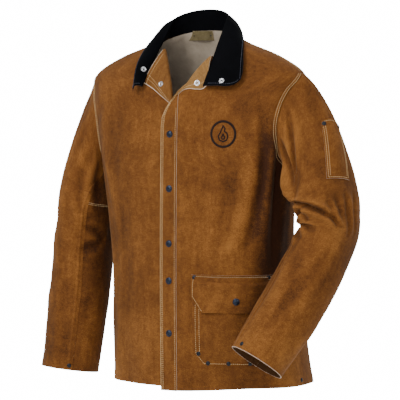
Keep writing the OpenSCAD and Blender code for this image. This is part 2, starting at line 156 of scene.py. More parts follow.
def fold(x, y, p, q, depth, width, bend=0.0, ridge=0.45):
    """A crease from p to q in a flat map: a valley with a soft ridge on each side, fading at its ends."""
    p, q = A(p), A(q)
    d = q - p
    L = np.hypot(*d)
    t, n = d / L, np.array([-d[1], d[0]]) / L
    s = ((x - p[0]) * t[0] + (y - p[1]) * t[1]) / L
    e = (x - p[0]) * n[0] + (y - p[1]) * n[1] - bend * 4 * np.clip(s, 0, 1) * (1 - np.clip(s, 0, 1))
    fade = np.clip(np.sin(np.pi * np.clip(s, 0, 1)), 0, 1) ** 0.7
    w = width * (0.55 + 0.45 * fade)
    return fade * depth * (-np.exp(-(e / w) ** 2) + ridge * np.exp(-((np.abs(e) - 1.9 * w) / (1.1 * w)) ** 2))


BODY_ARC, ARM_ARC, ARM_LEN = 3.3, 1.18, 560.0  # mm of cloth per degree, per degree and per length of a sleeve
BODY_FOLDS = [  # start and end as arc x (from the centre front, wearer's left +) and z; depth, width, bend
    ((-60, -150), (-110, -420), 2.2, 20, 14), ((-120, -200), (-70, -640), 2.6, 26, -18),
    ((-200, -250), (-150, -560), 3.0, 22, 14), ((-40, -420), (-70, -720), 1.8, 20, 8),
    ((70, -150), (110, -330), 2.2, 22, -12), ((110, -230), (60, -470), 3.4, 24, 14),
    ((205, -200), (150, -450), 6.5, 18, 12), ((250, -170), (232, -480), 8.0, 18, 4),
    ((172, -140), (196, -330), 4.0, 14, 4),
    ((150, -600), (190, -735), 2.0, 20, 0), ((-170, -560), (-210, -735), 3.0, 22, 0),
    ((215, -170), (150, -120), 1.6, 14, 6), ((-215, -170), (-150, -120), 1.6, 14, -6),
    ((300, -260), (420, -560), 4.0, 26, 20), ((-300, -260), (-420, -560), 4.0, 26, -20),
    ((380, -380), (480, -735), 5.0, 30, 10), ((-380, -380), (-480, -735), 5.0, 30, -10),
    ((520, -300), (560, -735), 4.4, 34, 14), ((-520, -300), (-560, -735), 4.4, 34, -14),
    ((360, -120), (470, -220), 2.6, 20, 8), ((-360, -120), (-470, -220), 2.6, 20, -8)]


def body_relief(ph, z):
    """Drape of the body in mm along the normal; flat along the front opening."""
    ph = (A(ph) + 180) % 360 - 180
    arc = ph * BODY_ARC
    d = 2.4 * noise(arc / 120 + 9, z / 260 + 3, 5) + 1.3 * noise(arc / 52 + 3, z / 110 + 8, 6)
    for row in BODY_FOLDS:
        d = d + fold(arc, z, *row)
    hem = ease((-600 - z) / 140)
    d = d + hem * (2.6 * np.sin(np.radians(ph) * 5 + 0.6) + 1.6 * np.sin(np.radians(ph) * 9 + 2))
    flat = ease((np.abs(arc) - 60) / 60) * 0.92 + 0.08
    top = 1 - 0.75 * ease((z + 130) / 60)
    cut = arm_cut(z)
    felled = 2.3 * ease(cut / 6) * np.exp(-((np.abs(np.abs(ph) - 90) - cut - 1.5) / 1.3) ** 2)
    waist = 10 * np.exp(-((arc - 385) / 75) ** 2 - ((z + 430) / 55) ** 2)
    return d * flat * top + felled - waist


def normals_of(P, flip=1.0):
    du = np.gradient(P, axis=1)
    dv = np.gradient(P, axis=0)
    return flip * unit(np.cross(du, dv))


def body(ph, z, off=0.0, on_left=False):
    """A point on the body's hide, off mm outside it; on_left lays it over the right front."""
    e = 0.25
    ph, z, off = np.broadcast_arrays(A(ph), A(z), A(off))
    P = body0(ph, z)
    N = unit(np.cross(body0(ph + e, z) - body0(ph - e, z), body0(ph, z + 1) - body0(ph, z - 1)))
    P = P + N * (body_relief(ph, z) + off)[..., None]
    if on_left:
        P = P - stack(0, lift(P[..., 0]), 0)
    return P


def front(x, z, off=0.0, on_left=False):
    return body(ph_x(x, z), z, off, on_left)


def hole(s, ps):
    """The armhole, by the angle round the sleeve."""
    z = (ARMPIT + TIP) / 2 + (TIP - ARMPIT) / 2 * cosd(ps)
    return body(s * np.where(sind(ps) > 0, 90 - arm_cut(z), 90 + arm_cut(z)), z)


def axis_p(s, t):
    return stack(herm(ARMS[s], t, 1), herm(ARMS[s], t, 2), herm(ARMS[s], t, 3))


def arm_base(s, ps, t):
    """A sleeve without its folds: s the side, ps the angle round it, t 0 at the armhole and 1 at the cuff."""
    ps, t = np.broadcast_arrays(A(ps), A(t))
    d = unit(axis_p(s, np.minimum(t + .01, 1)) - axis_p(s, np.maximum(t - .01, 0)))
    o = unit(stack(s, 0, 0) - d * (s * d[..., :1]))
    f = np.cross(d, o)
    f = np.where(f[..., 1:2] > 0, -f, f)
    a = hole(s, ps) + axis_p(s, t) - axis_p(s, 0)
    across, along_f = herm(ARMS[s], t, 4) * cosd(ps), herm(ARMS[s], t, 5) * sind(ps)
    b = axis_p(s, t) + o * across[..., None] + f * along_f[..., None]
    head = HEAD[s] * np.sin(np.pi * np.clip(t / .44, 0, 1) ** .7) * np.maximum(cosd(ps + 25 * s), 0)
    return mix(a, b, ease(t / 0.4)[..., None]) + o * head[..., None]


ARM_FOLDS = {  # start and end as angle and length; depth, width and bend in mm
    1: [((146, .29), (34, .49), 12.0, 7, 3), ((168, .42), (92, .365), 8.0, 8, 3),
        ((150, .47), (78, .53), 7.0, 10, -6), ((154, .49), (104, .575), 7.0, 10, -6),
        ((66, .04), (102, .21), 7.0, 8, 6), ((106, .02), (118, .24), 8.0, 9, 6),
        ((118, .08), (142, .315), -9.0, 17, 0), ((128, .10), (142, .30), -8.0, 22, 0),
        ((54, .37), (44, .50), 5.0, 6, 0), ((20, .36), (18, .51), 3.6, 6, 2),
        ((36, .36), (34, .45), 3.0, 6, 0), ((-2, .36), (0, .50), 2.8, 6, 0),
        ((132, .36), (100, .46), 5.0, 8, 4), ((196, .42), (150, .50), 9.0, 14, 0),
        ((150, .05), (150, .36), 6.0, 14, -6), ((60, .34), (20, .50), 2.4, 14, 10),
        ((100, .62), (60, .84), 2.6, 14, 10), ((40, .58), (76, .93), 2.2, 12, -8),
        ((130, .62), (118, .9), 2.4, 12, 4), ((20, .02), (30, .17), 2.0, 11, 0),
        ((210, .45), (262, .40), 4.0, 12, 0), ((215, .5), (270, .56), 4.0, 12, 0),
        ((-60, .1), (-100, .5), 3.0, 18, 10)],
    -1: [((176, .52), (128, .46), 5.5, 10, 5), ((176, .50), (120, .56), 5.0, 11, -6),
         ((110, .08), (120, .42), 4.6, 14, 8), ((70, .1), (92, .52), 2.4, 18, -8),
         ((140, .05), (150, .4), 5.0, 14, 0), ((90, .55), (112, .95), 2.2, 16, 6),
         ((60, .6), (70, .95), 2.0, 16, -6), ((-60, .1), (-100, .55), 3.0, 18, 10),
         ((220, .5), (270, .42), 3.0, 12, 0)]}


def arm_relief(s, ps, t):
    ps = (A(ps) + 180) % 360 - 180
    t = A(t)
    a = (ps + 180) / 360 * 10
    d = (2.6 * noise(a * .6, t * 3.1 + 2, 11 + s, 6) + 1.5 * noise(a, t * 7.5 + 5, 13 + s, 10)
         + .7 * noise(a * 2, t * 17, 17 + s, 20))
    for p, q, k, w, b in ARM_FOLDS[s]:
        for turn in (0, 360, -360):
            m = (ps + turn) * ARM_ARC
            if m.min() - 60 > max(p[0], q[0]) * ARM_ARC or m.max() + 60 < min(p[0], q[0]) * ARM_ARC:
                continue
            ends = [(c[0] * ARM_ARC, c[1] * ARM_LEN) for c in (p, q)]
            d = d + fold(m, t * ARM_LEN, *ends, k, w, b)
    felled = 1.7 * np.exp(-((ps - seam_ps(t) + 7) / 2.4) ** 2)
    return (d + felled) * ease(t / .07) * (0.35 + 0.65 * ease((1 - t) / .06))


def arm(s, ps, t, off=0.0):
    ps, t, off = np.broadcast_arrays(A(ps), A(t), A(off))
    tt = np.clip(t, .003, 1)
    n = s * unit(np.cross(arm_base(s, ps + 1, tt) - arm_base(s, ps - 1, tt),
                          arm_base(s, ps, tt + .003) - arm_base(s, ps, tt - .003)))
    return arm_base(s, ps, t) + n * (arm_relief(s, ps, t) + off)[..., None]


def seam_ps(t):
    return mix(165, 128, ease(A(t) / .4))


def neck_x(z):
    z = A(z)
    return np.where(z < CORNER, 78 * np.clip((z - V_Z) / (CORNER - V_Z), 0, 1),
                    mix(78, 85, (z - CORNER) / (18 - CORNER)))


def neck_q(q):
    """The neck seam, q 0 at the centre back and -1 or 1 at the fronts; roll_q and edge_q run the same way."""
    k, s = np.abs(A(q)), np.where(A(q) < 0, -1, 1)
    p = body0(180 - 180 * np.minimum(k, .5), 18 + 18 * cosd(180 * np.minimum(k, .5)))
    z = mix(18, CORNER, (np.maximum(k, .5) - .5) / .5)
    r = body0(np.minimum(ph_x(neck_x(z), z), 90), z)
    p = np.where((k < .5)[..., None], p, r)
    return p * stack(s, 1, 1)


def roll_q(q):
    k, s = np.abs(A(q)), np.sign(A(q))
    c = 90 * np.minimum(k, .4) / .4
    arc = stack(70 * sind(c), 24 + 40 * cosd(c), 54 + 24 * cosd(c))
    line = mix(ROLL_A, ROLL_F, ((np.maximum(k, .4) - .4) / .6)[..., None])
    shift = ROLL_SHIFT * np.where(k < .4, 1, 1 - (np.maximum(k, .4) - .4) / .6)
    return np.where((k < .4)[..., None], arc, line) * stack(s, 1, 1) + stack(shift, 0, 0)


def edge_q(q):
    return stack(herm(EDGE, q, 1), herm(EDGE, q, 2), herm(EDGE, q, 3))


def leaf(q, v, off=0.0):
    """The turned-down collar: v 0 the outer edge, 1 the roll line."""
    q, v, off = np.broadcast_arrays(A(q), A(v), A(off))
    a, b = roll_q(q), edge_q(q)
    o = unit(np.cross(b - a, roll_q(q + .01) - roll_q(q - .01)))
    return mix(b, a, v[..., None]) - o * (7 * sind(180 * np.clip(v, 0, 1)) + off)[..., None]


# ---------------------------------------------------------------- mesh making
def mesh_object(name, verts, faces, mats, fmat=None, uvs=None):
    """A smooth object in metres from points in mm, with sharp edges between its materials."""
    me = bpy.data.meshes.new(name)
    me.from_pydata([tuple(v) for v in (np.asarray(verts) / 1000.0)], [], [tuple(f) for f in faces])
    for m in mats:
        me.materials.append(m)
    if fmat is not None:
        me.polygons.foreach_set("material_index", np.asarray(fmat, np.int32))
    me.polygons.foreach_set("use_smooth", np.full(len(me.polygons), True))
    if uvs is not None:
        layer = me.uv_layers.new(name="UVMap")
        vi = np.zeros(len(me.loops), np.int32)
        me.loops.foreach_get("vertex_index", vi)
        layer.data.foreach_set("uv", np.asarray(uvs)[vi].astype(np.float32).ravel())
    me.update()
    if fmat is not None and len(set(fmat)) > 1:
        bm = bmesh.new()
        bm.from_mesh(me)
        for e in bm.edges:
            if len(e.link_faces) == 2 and e.link_faces[0].material_index != e.link_faces[1].material_index:
                e.smooth = False
        bm.to_mesh(me)
        bm.free()
    o = bpy.data.objects.new(name, me)
    bpy.context.scene.collection.objects.link(o)
    return o


AREAS = {}


def hide(name, P, thick, mats, off=0.0, flip=1.0, N=None, uv0=(0.0, 0.0), painted_shading=None):
    """Hide or cloth from a grid of points: two faces, off and off + thick from it, and a cut edge."""
    if N is None:
        N = normals_of(P, flip)
    r, c = P.shape[:2]
    outer, inner = P + N * (off + thick), P + N * off
    V = np.concatenate([outer.reshape(-1, 3), inner.reshape(-1, 3)])
    n = r * c
    i = (np.arange(r - 1)[:, None] * c + np.arange(c - 1)[None]).ravel()
    q = np.stack([i, i + 1, i + c + 1, i + c], 1)
    if flip < 0:
        q = q[:, ::-1]
    F = [q, q[:, ::-1] + n]
    ring = np.concatenate([np.arange(c), np.arange(1, r) * c + c - 1,
                           (r - 1) * c + np.arange(c - 2, -1, -1), np.arange(r - 2, 0, -1) * c])
    nxt = np.roll(ring, -1)
    rim = np.stack([nxt, ring, ring + n, nxt + n], 1)
    if flip < 0:
        rim = rim[:, ::-1]
    F = np.concatenate(F + [rim])
    fm = np.concatenate([np.zeros(len(q), int), np.ones(len(q), int), np.full(len(rim), 2, int)])
    du = np.linalg.norm(np.diff(P, axis=1), axis=2)
    dv = np.linalg.norm(np.diff(P, axis=0), axis=2)
    au = np.concatenate([np.zeros((r, 1)), np.cumsum(du, 1)], 1)
    au = au - au[:, c // 2:c // 2 + 1]
    av = np.concatenate([np.zeros((1, c)), np.cumsum(dv, 0)], 0)
    av = np.broadcast_to(av[:, c // 2:c // 2 + 1], (r, c))
    uv = np.stack([au / 1000 + uv0[0], av / 1000 + uv0[1]], -1).reshape(-1, 2)
    o = mesh_object(name, V, F, mats, fm, np.concatenate([uv, uv]))
    a = np.linalg.norm(np.cross(P[1:, 1:] - P[:-1, :-1], P[1:, :-1] - P[:-1, 1:]), axis=2).sum() / 2
    AREAS[name] = (a / 1e6, au.max() - au.min(), av.max() - av.min())
    # the piece's painted shade and painted light, kept as a point attribute
    if painted_shading is not None:
        t = o.data.attributes.new("painted_shading", "FLOAT", "POINT")
        t.data.foreach_set("value", np.concatenate([painted_shading.ravel(), painted_shading.ravel()]).astype(np.float32))
    return o


def grid(nu, nv, v0=0.0, v1=1.0):
    return np.meshgrid(np.linspace(0.0, 1.0, nu + 1), np.linspace(v0, v1, nv + 1))


def revolve(profile, n):
    m = len(profile)
    V, F = [], []
    for k in range(n):
        a = 2 * math.pi * k / n
        V += [(r * math.cos(a), r * math.sin(a), z) for r, z in profile]
        a, b = k * m, ((k + 1) % n) * m
        F += [(a + j, b + j, b + j + 1, a + j + 1) for j in range(m - 1)]
    return A(V), F


def hardware(name, places, profile, mat, n=28):
    """One mesh of turned parts from a profile of r and z, each standing on its place along the normal."""
    V0, F0 = revolve(profile, n)
    V, F = [], []
    for p, nn in places:
        z = unit(A(nn))
        x = unit(np.cross([0, 0, 1] if abs(z[2]) < .9 else [0, 1, 0], z))
        y = np.cross(z, x)
        F += [tuple(i + len(V) * len(V0) for i in f) for f in F0]
        V.append(V0 @ np.stack([x, y, z]) + A(p))
    V = np.concatenate(V)
    o = mesh_object(name, V, F, [mat])
    bm = bmesh.new()
    bm.from_mesh(o.data)
    bmesh.ops.remove_doubles(bm, verts=bm.verts, dist=1e-6)
    for e in bm.edges:
        if len(e.link_faces) == 2 and e.calc_face_angle(0) > 0.7:
            e.smooth = False
    bm.to_mesh(o.data)
    bm.free()
    return o


def stitches(name, lines, mat, pitch=4.4, length=3.5, r=0.62, sink=0.15):
    """Thread laid as separate stitches along each (points, normals) line."""
    ring = 5
    secs = [(-.5, .15, -.55), (-.42, .8, -.1), (-.15, 1, .25), (.15, 1, .25), (.42, .8, -.1), (.5, .15, -.55)]
    T = []
    for s, k, h in secs:
        for j in range(ring):
            a = 2 * math.pi * j / ring
            T.append((s * length, k * r * math.cos(a), k * r * math.sin(a) + h * r))
    T = A(T)
    TF = []
    for s in range(len(secs) - 1):
        for j in range(ring):
            a, b = s * ring + j, s * ring + (j + 1) % ring
            TF.append((a, b, b + ring, a + ring))
    TF = np.array(TF)
    caps = [tuple(range(ring))[::-1], tuple(range((len(secs) - 1) * ring, len(secs) * ring))]
    V, F, FC = [], [], []
    base = 0
    for pts, nrm in lines:
        pts, nrm = A(pts), A(nrm)
        d = np.concatenate([[0], np.cumsum(np.linalg.norm(np.diff(pts, axis=0), axis=1))])
        n = max(1, int(d[-1] / pitch))
        s = (np.arange(n) + .5) * d[-1] / n
        C = np.stack([np.interp(s, d, pts[:, k]) for k in range(3)], 1)
        ahead, behind = np.minimum(s + 1.2, d[-1]), np.maximum(s - 1.2, 0)
        e = np.stack([np.interp(ahead, d, pts[:, k]) - np.interp(behind, d, pts[:, k]) for k in range(3)], 1)
        N = unit(np.stack([np.interp(s, d, nrm[:, k]) for k in range(3)], 1))
        t = unit(e)
        b = unit(np.cross(N, t))
        N = np.cross(t, b)
        C = C + N * (-sink + r * .3)
        V.append((C[:, None] + t[:, None] * T[None, :, 0:1] + b[:, None] * T[None, :, 1:2]
                  + N[:, None] * T[None, :, 2:3]).reshape(-1, 3))
        for k in range(n):
            F.append(TF + base)
            FC += [tuple(i + base for i in c) for c in caps]
            base += len(T)
    F = [tuple(f) for f in np.concatenate(F)] + FC
    return mesh_object(name, np.concatenate(V), F, [mat])


# ---------------------------------------------------------------- materials
def base_mat(name):
    m = bpy.data.materials.new(name)
    m.use_nodes = True
    nt = m.node_tree
    nt.nodes.clear()
    out = nt.nodes.new("ShaderNodeOutputMaterial")
    b = nt.nodes.new("ShaderNodeBsdfPrincipled")
    nt.links.new(b.outputs[0], out.inputs[0])
    return m, nt, b


def noise_tex(nt, vec, scale, detail=3.0, rough=0.55, distort=0.0):
    n = nt.nodes.new("ShaderNodeTexNoise")
    n.inputs["Scale"].default_value = scale
    n.inputs["Detail"].default_value = detail
    n.inputs["Roughness"].default_value = rough
    n.inputs["Distortion"].default_value = distort
    nt.links.new(vec, n.inputs["Vector"])
    return n.outputs["Fac"]


def mapped(nt, vec, scale):
    n = nt.nodes.new("ShaderNodeMapping")
    n.inputs["Scale"].default_value = scale
    nt.links.new(vec, n.inputs["Vector"])
    return n.outputs[0]


def math_n(nt, op, a, b, c=None):
    n = nt.nodes.new("ShaderNodeMath")
    n.operation = op
    for i, v in enumerate((a, b, c)):
        if v is None:
            continue
        if isinstance(v, (int, float)):
            n.inputs[i].default_value = v
        else:
            nt.links.new(v, n.inputs[i])
    return n.outputs[0]


def ramp(nt, fac, stops):
    n = nt.nodes.new("ShaderNodeValToRGB")
    e = n.color_ramp.elements
    while len(e) < len(stops):
        e.new(0.5)
    for k, (p, c) in enumerate(stops):
        e[k].position = p
        e[k].color = (*c, 1)
    nt.links.new(fac, n.inputs[0])
    return n.outputs[0]


def bump(nt, b, height, strength, dist, prev=None):
    n = nt.nodes.new("ShaderNodeBump")
    n.inputs["Strength"].default_value = strength
    n.inputs["Distance"].default_value = dist
    nt.links.new(height, n.inputs["Height"])
    if prev is not None:
        nt.links.new(prev, n.inputs["Normal"])
    nt.links.new(n.outputs[0], b.inputs["Normal"])
    return n.outputs[0]


def attr(nt, name):
    n = nt.nodes.new("ShaderNodeAttribute")
    n.attribute_name = name
    return n.outputs["Fac"]


def suede(name, dark, mid, light, sheen=0.1, painted_shading=False):
    """Napped leather: clouds, blotches, streaks and nap; the mesh's attribute adds painted shade and painted
    light.
    """
    m, nt, b = base_mat(name)
    uv = nt.nodes.new("ShaderNodeUVMap").outputs[0]
    cloud = noise_tex(nt, uv, 7.5, 4, 0.55, 0.5)
    blot = noise_tex(nt, uv, 34, 5, 0.62, 0.3)
    streak = noise_tex(nt, mapped(nt, uv, (60, 11, 1)), 1.0, 4, 0.6, 0.4)
    nap = noise_tex(nt, uv, 520, 5, 0.7)
    speck = noise_tex(nt, uv, 130, 4, 0.65)
    f = 0.02
    for texture, weight in ((cloud, 0.38), (blot, 0.34), (streak, 0.30), (speck, 0.42), (nap, 0.95)):
        f = math_n(nt, "MULTIPLY_ADD", texture, weight, f)
    f = math_n(nt, "SUBTRACT", f, 0.71)
    # painted shade and painted light from the mesh shift the colour
    if painted_shading:
        f = math_n(nt, "ADD", attr(nt, "painted_shading"), f)
    col = ramp(nt, f, [(0.16, dark), (0.48, mid), (0.84, light)])
    nt.links.new(col, b.inputs["Base Color"])
    rough = math_n(nt, "MULTIPLY_ADD", nap, 0.16, 0.78)
    nt.links.new(rough, b.inputs["Roughness"])
    b.inputs["Specular IOR Level"].default_value = 0.22
    b.inputs["Sheen Weight"].default_value = sheen
    b.inputs["Sheen Roughness"].default_value = 0.45
    b.inputs["Sheen Tint"].default_value = (0.9, 0.62, 0.36, 1)
    h = bump(nt, b, nap, 0.55, 0.0009)
    fib = noise_tex(nt, mapped(nt, uv, (900, 360, 1)), 1.0, 3, 0.6)
    h = bump(nt, b, fib, 0.35, 0.0006, h)
    bump(nt, b, blot, 0.35, 0.0022, h)
    return m


def smooth_hide(name, dark, light, rough, spec, grain=900):
    m, nt, b = base_mat(name)
    uv = nt.nodes.new("ShaderNodeUVMap").outputs[0]
    cloud = noise_tex(nt, uv, 22, 4, 0.6)
    v = nt.nodes.new("ShaderNodeTexVoronoi")
    v.inputs["Scale"].default_value = grain
    nt.links.new(uv, v.inputs["Vector"])
    pore = noise_tex(nt, uv, grain * 0.35, 4, 0.7)
    col = ramp(nt, cloud, [(0.3, dark), (0.72, light)])
    nt.links.new(col, b.inputs["Base Color"])
    nt.links.new(math_n(nt, "MULTIPLY_ADD", pore, 0.22, rough - 0.1), b.inputs["Roughness"])
    b.inputs["Specular IOR Level"].default_value = spec
    h = bump(nt, b, v.outputs["Distance"], 0.3, 0.0005)
    h = bump(nt, b, pore, 0.4, 0.0006, h)
    bump(nt, b, noise_tex(nt, uv, 70, 3), 0.25, 0.0012, h)
    return m


def woven(name, dark, light):
    m, nt, b = base_mat(name)
    uv = nt.nodes.new("ShaderNodeUVMap").outputs[0]
    yarns = []
    for bands, vec in (("X", mapped(nt, uv, (1, 0.35, 1))), ("Y", uv)):
        w = nt.nodes.new("ShaderNodeTexWave")
        w.bands_direction = bands
        w.inputs["Scale"].default_value = 210
        w.inputs["Distortion"].default_value = 0.6
        nt.links.new(vec, w.inputs["Vector"])
        yarns.append(w.outputs["Fac"])
    weave = math_n(nt, "MULTIPLY", *yarns)
    cloud = noise_tex(nt, uv, 18, 4, 0.6)
    f = math_n(nt, "MULTIPLY_ADD", weave, 0.35, math_n(nt, "MULTIPLY", cloud, 0.8))
    nt.links.new(ramp(nt, f, [(0.15, dark), (0.8, light)]), b.inputs["Base Color"])
    b.inputs["Roughness"].default_value = 0.92
    b.inputs["Specular IOR Level"].default_value = 0.15
    b.inputs["Sheen Weight"].default_value = 0.15
    h = bump(nt, b, weave, 0.4, 0.0004)
    bump(nt, b, noise_tex(nt, uv, 60, 3), 0.3, 0.0015, h)
    return m


def metal(name, dark, light, rough, metallic=1.0, scale=400.0):
    m, nt, b = base_mat(name)
    tc = nt.nodes.new("ShaderNodeTexCoord").outputs["Object"]
    n1 = noise_tex(nt, tc, scale, 4, 0.6)
    n2 = noise_tex(nt, tc, scale * 5, 3, 0.6)
    nt.links.new(ramp(nt, n1, [(0.35, dark), (0.7, light)]), b.inputs["Base Color"])
    nt.links.new(math_n(nt, "MULTIPLY_ADD", n1, 0.25, rough - 0.12), b.inputs["Roughness"])
    b.inputs["Metallic"].default_value = metallic
    bump(nt, b, n2, 0.12, 0.0003)
    return m


def thread_mat(name, dark, light):
    m, nt, b = base_mat(name)
    tc = nt.nodes.new("ShaderNodeTexCoord").outputs["Object"]
    n1 = noise_tex(nt, tc, 240, 2, 0.6)
    n2 = noise_tex(nt, tc, 2600, 3, 0.6)
    nt.links.new(ramp(nt, n1, [(0.3, dark), (0.7, light)]), b.inputs["Base Color"])
    b.inputs["Roughness"].default_value = 0.7
    b.inputs["Sheen Weight"].default_value = 0.2
    bump(nt, b, n2, 0.4, 0.0003)
    return m


SUEDE = suede("suede", (0.036, 0.0092, 0.0012), (0.154, 0.0505, 0.0066), (0.345, 0.138, 0.028), 0.12, True)
SUEDE_IN = suede("suede_flesh_side", (0.035, 0.012, 0.003), (0.085, 0.034, 0.009), (0.15, 0.065, 0.022), 0.08)
FACING = suede("facing_hide", (0.060, 0.020, 0.0035), (0.165, 0.062, 0.011), (0.30, 0.135, 0.034))
PALE = suede("pale_facing_hide", (0.13, 0.058, 0.015), (0.27, 0.135, 0.040), (0.42, 0.235, 0.085))
STRIP = suede("strip_hide", (0.07, 0.052, 0.022), (0.15, 0.115, 0.052), (0.26, 0.21, 0.105))
CUT = suede("cut_edge", (0.52, 0.38, 0.26), (0.76, 0.61, 0.47), (0.88, 0.76, 0.64))
PIG = smooth_hide("black_pigskin", (0.0004, 0.0005, 0.0010), (0.0016, 0.0018, 0.0032), 0.72, .05)
PIG_IN = smooth_hide("black_pigskin_back", (0.0030, 0.0028, 0.0035), (0.0075, 0.0070, 0.0080), 0.8, .1)
PIG_CUT = smooth_hide("black_cut_edge", (0.008, 0.008, 0.010), (0.022, 0.021, 0.026), 0.8, .1)
CLOTH = woven("lining_cloth", (0.22, 0.175, 0.125), (0.60, 0.50, 0.385))
THREAD = thread_mat("pale_thread", (0.46, 0.275, 0.10), (0.74, 0.52, 0.25))
DARK_THREAD = thread_mat("navy_thread", (0.012, 0.014, 0.03), (0.05, 0.055, 0.09))
GUN = metal("gunmetal", (0.018, 0.022, 0.034), (0.060, 0.072, 0.105), 0.34)
NICKEL = metal("bright_nickel", (0.55, 0.56, 0.58), (0.80, 0.80, 0.82), 0.24)
BLACKMETAL = metal("black_rivet", (0.010, 0.011, 0.014), (0.035, 0.038, 0.046), 0.40, 0.7)
SCORCH = suede("scorched_mark", (0.006, 0.0030, 0.0020), (0.016, 0.0075, 0.0045), (0.035, 0.016, 0.009), 0.05)
LEATHER3 = [SUEDE, SUEDE_IN, CUT]
PIG3 = [PIG, PIG_IN, PIG_CUT]


# ---------------------------------------------------------------- sheets of hide
Q = 1.0


def num(n):
    return max(4, int(n * Q))


def surf(fun, u, v):
    """fun(u, v) and its unit normal (cross of du and dv) on arrays."""
    e = 0.002
    P = fun(u, v)
    N = unit(np.cross(fun(u + e, v) - fun(u - e, v), fun(u, v + e) - fun(u, v - e)))
    return P, N


def steady(o, N):
    """Shading normals from the surface itself, so that two pieces that meet show no line."""
    me = o.data
    NN = np.concatenate([N.reshape(-1, 3), -N.reshape(-1, 3)])
    mi = np.zeros(len(me.polygons), np.int32)
    me.polygons.foreach_get("material_index", mi)
    tot = np.zeros(len(me.polygons), np.int32)
    me.polygons.foreach_get("loop_total", tot)
    lp = np.repeat(mi, tot)
    pn = np.zeros(len(me.polygons) * 3)
    me.polygons.foreach_get("normal", pn)
    pn = np.repeat(pn.reshape(-1, 3), tot, axis=0)
    vi = np.zeros(len(me.loops), np.int32)
    me.loops.foreach_get("vertex_index", vi)
    L = np.where((lp == 2)[:, None], pn, NN[vi])
    me.normals_split_custom_set([tuple(v) for v in L])


SIDE_LAP = 0.6  # degrees that the fronts go past the side seams


def side_ph(z):
    return 90 - arm_cut(z)


# the inner boundary of each front in the x, z plane: base height, x, z
LEFT_RIM = A([[HEM, -22, HEM - DROP], [-640, -22, -644], [-175, -22, -176], [-155, -19, -154],
              [-140, -10, -136], [-128, 1, -121], [-116, 14, -109], [-105, 27, -98], [-95, 41, -87],
              [-85, 54, -77], [-74, 66, -69], [-64, 78, -62], [-20, 83, -20], [15, 85, 15]])
RIGHT_RIM = A([[HEM, 16, HEM], [-140, 16, -140], [-131, 9, -132], [-124, 1, -123], [-115, -4, -108],
               [-104, -11, -94], [-94, -20, -79], [-84, -32, -67], [-72, -50, -55], [-58, -72, -45],
               [-46, -84, -38], [-30, -84, -28], [15, -85, 15]])
# free edge and roll line of the small lapels, x and z, from the bottom of the V outward
LEFT_FREE = A([[-5, -132], [4, -120.5], [15, -109], [27.5, -98.5], [41, -95.7], [57, -97], [71, -96.5],
               [80, -88]])
LEFT_ROLL = A([[-3, -129], [5, -118], [15, -107], [26.7, -95.5], [36.5, -86.7], [45.4, -67.3],
               [59.4, -43.5], [70, -30]])
RIGHT_FREE = A([[5, -134], [-6, -126], [-21, -116], [-37, -106], [-54, -96], [-69, -89], [-83, -83]])
RIGHT_ROLL = A([[4, -131], [-1, -119], [-7, -102], [-14, -86], [-23, -70], [-38, -44], [-57, -17]])


def along(tab, u):
    """x and z a share u along a line of points."""
    d = np.concatenate([[0], np.cumsum(np.hypot(*np.diff(tab, axis=0).T))])
    t3 = np.column_stack([d / d[-1], tab])
    return herm(t3, u, 1), herm(t3, u, 2)


def base_rows(v):
    """Height of a row of a front: v .5 is level with the armpit, .86 with the shoulder tip."""
    v = A(v)
    upper = np.where(v < .86, mix(ARMPIT, TIP, (v - .5) / .36), mix(TIP, 15, (v - .86) / .14))
    return np.where(v < .5, mix(HEM, ARMPIT, v / .5), upper)


def rim_at(rim, zb):
    return np.interp(zb, rim[:, 0], rim[:, 1]), np.interp(zb, rim[:, 0], rim[:, 2])


def front_patch(u, v, rim, s):
    """u 0 the front opening, 1 the side; v from the hem up."""
    zb = base_rows(v)
    xc, zc = rim_at(rim, zb)
    z = mix(zc, zb, ease(np.clip(u / .55, 0, 1)))
    a = ph_x(xc, zc)
    return mix(a, s * (side_ph(zb) + SIDE_LAP), u), z


def f_left(u, v):
    ph, z = front_patch(u, v, LEFT_RIM, 1)
    return body(ph, z, 0, True)


def f_right(u, v):
    ph, z = front_patch(u, v, RIGHT_RIM, -1)
    return body(ph, z)


def f_back(u, v):
    q = 180 * A(u)
    top = 17.5 + 18 * sind(q)
    side = np.where(v < .8, mix(ARMPIT, TIP, (v - .45) / .35), mix(TIP, top, (v - .8) / .2))
    z = np.where(v < .45, mix(HEM, ARMPIT, v / .45), side)
    c = arm_cut(z)
    return body(mix(89.5 + c, 270.5 - c, u), z)


def back_painted_shading(P):
    """Painted shade in the creases and painted light on the ridges."""
    ph = np.degrees(np.arctan2(P[..., 0], -(P[..., 1] - BODY_Y)))
    return .10 * np.tanh(body_relief(ph, P[..., 2]) / 3)


def front_painted_shading(U, V, rim, s):
    """The same painted shade and light as on the back, a little darker towards the sides, with a painted
    shadow beside the left arm and lighter low on the right.
    """
    ph, z = front_patch(U, V, rim, s)
    painted_shading = .13 * np.tanh(body_relief(ph, z) / 2.6) - .05 * ease((np.abs(ph) - 40) / 50)
    if s > 0:
        # painted shadow on the left front's side beside the left arm
        return painted_shading - .36 * (ease((s * ph - 44) / 26) * ease((-150 - z) / 60) * ease((z + 590) / 110))
    return painted_shading + .07 * ease((-540 - z) / 130)


def shell(o):
    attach(o, "shell")


def front_blend(o):
    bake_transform(o)


def piece(name, fun, size, thick, mats, off, uv0, ride, nodes, painted_shading=None, crumple=None, s=1):
    """A sheet over fun that rides with its body and stands for its CAD nodes; s -1 on the mirrored side."""
    U, V = grid(*size)
    U = U[:, ::s]
    P, N = surf(fun, U, V)
    N = N * s
    if crumple:
        P = P + N * crumple(U, V)[..., None]
    o = hide(name, P, thick, mats, off, N=N, uv0=uv0, painted_shading=painted_shading and painted_shading(U, V, P))
    ride(o)
    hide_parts(*nodes)


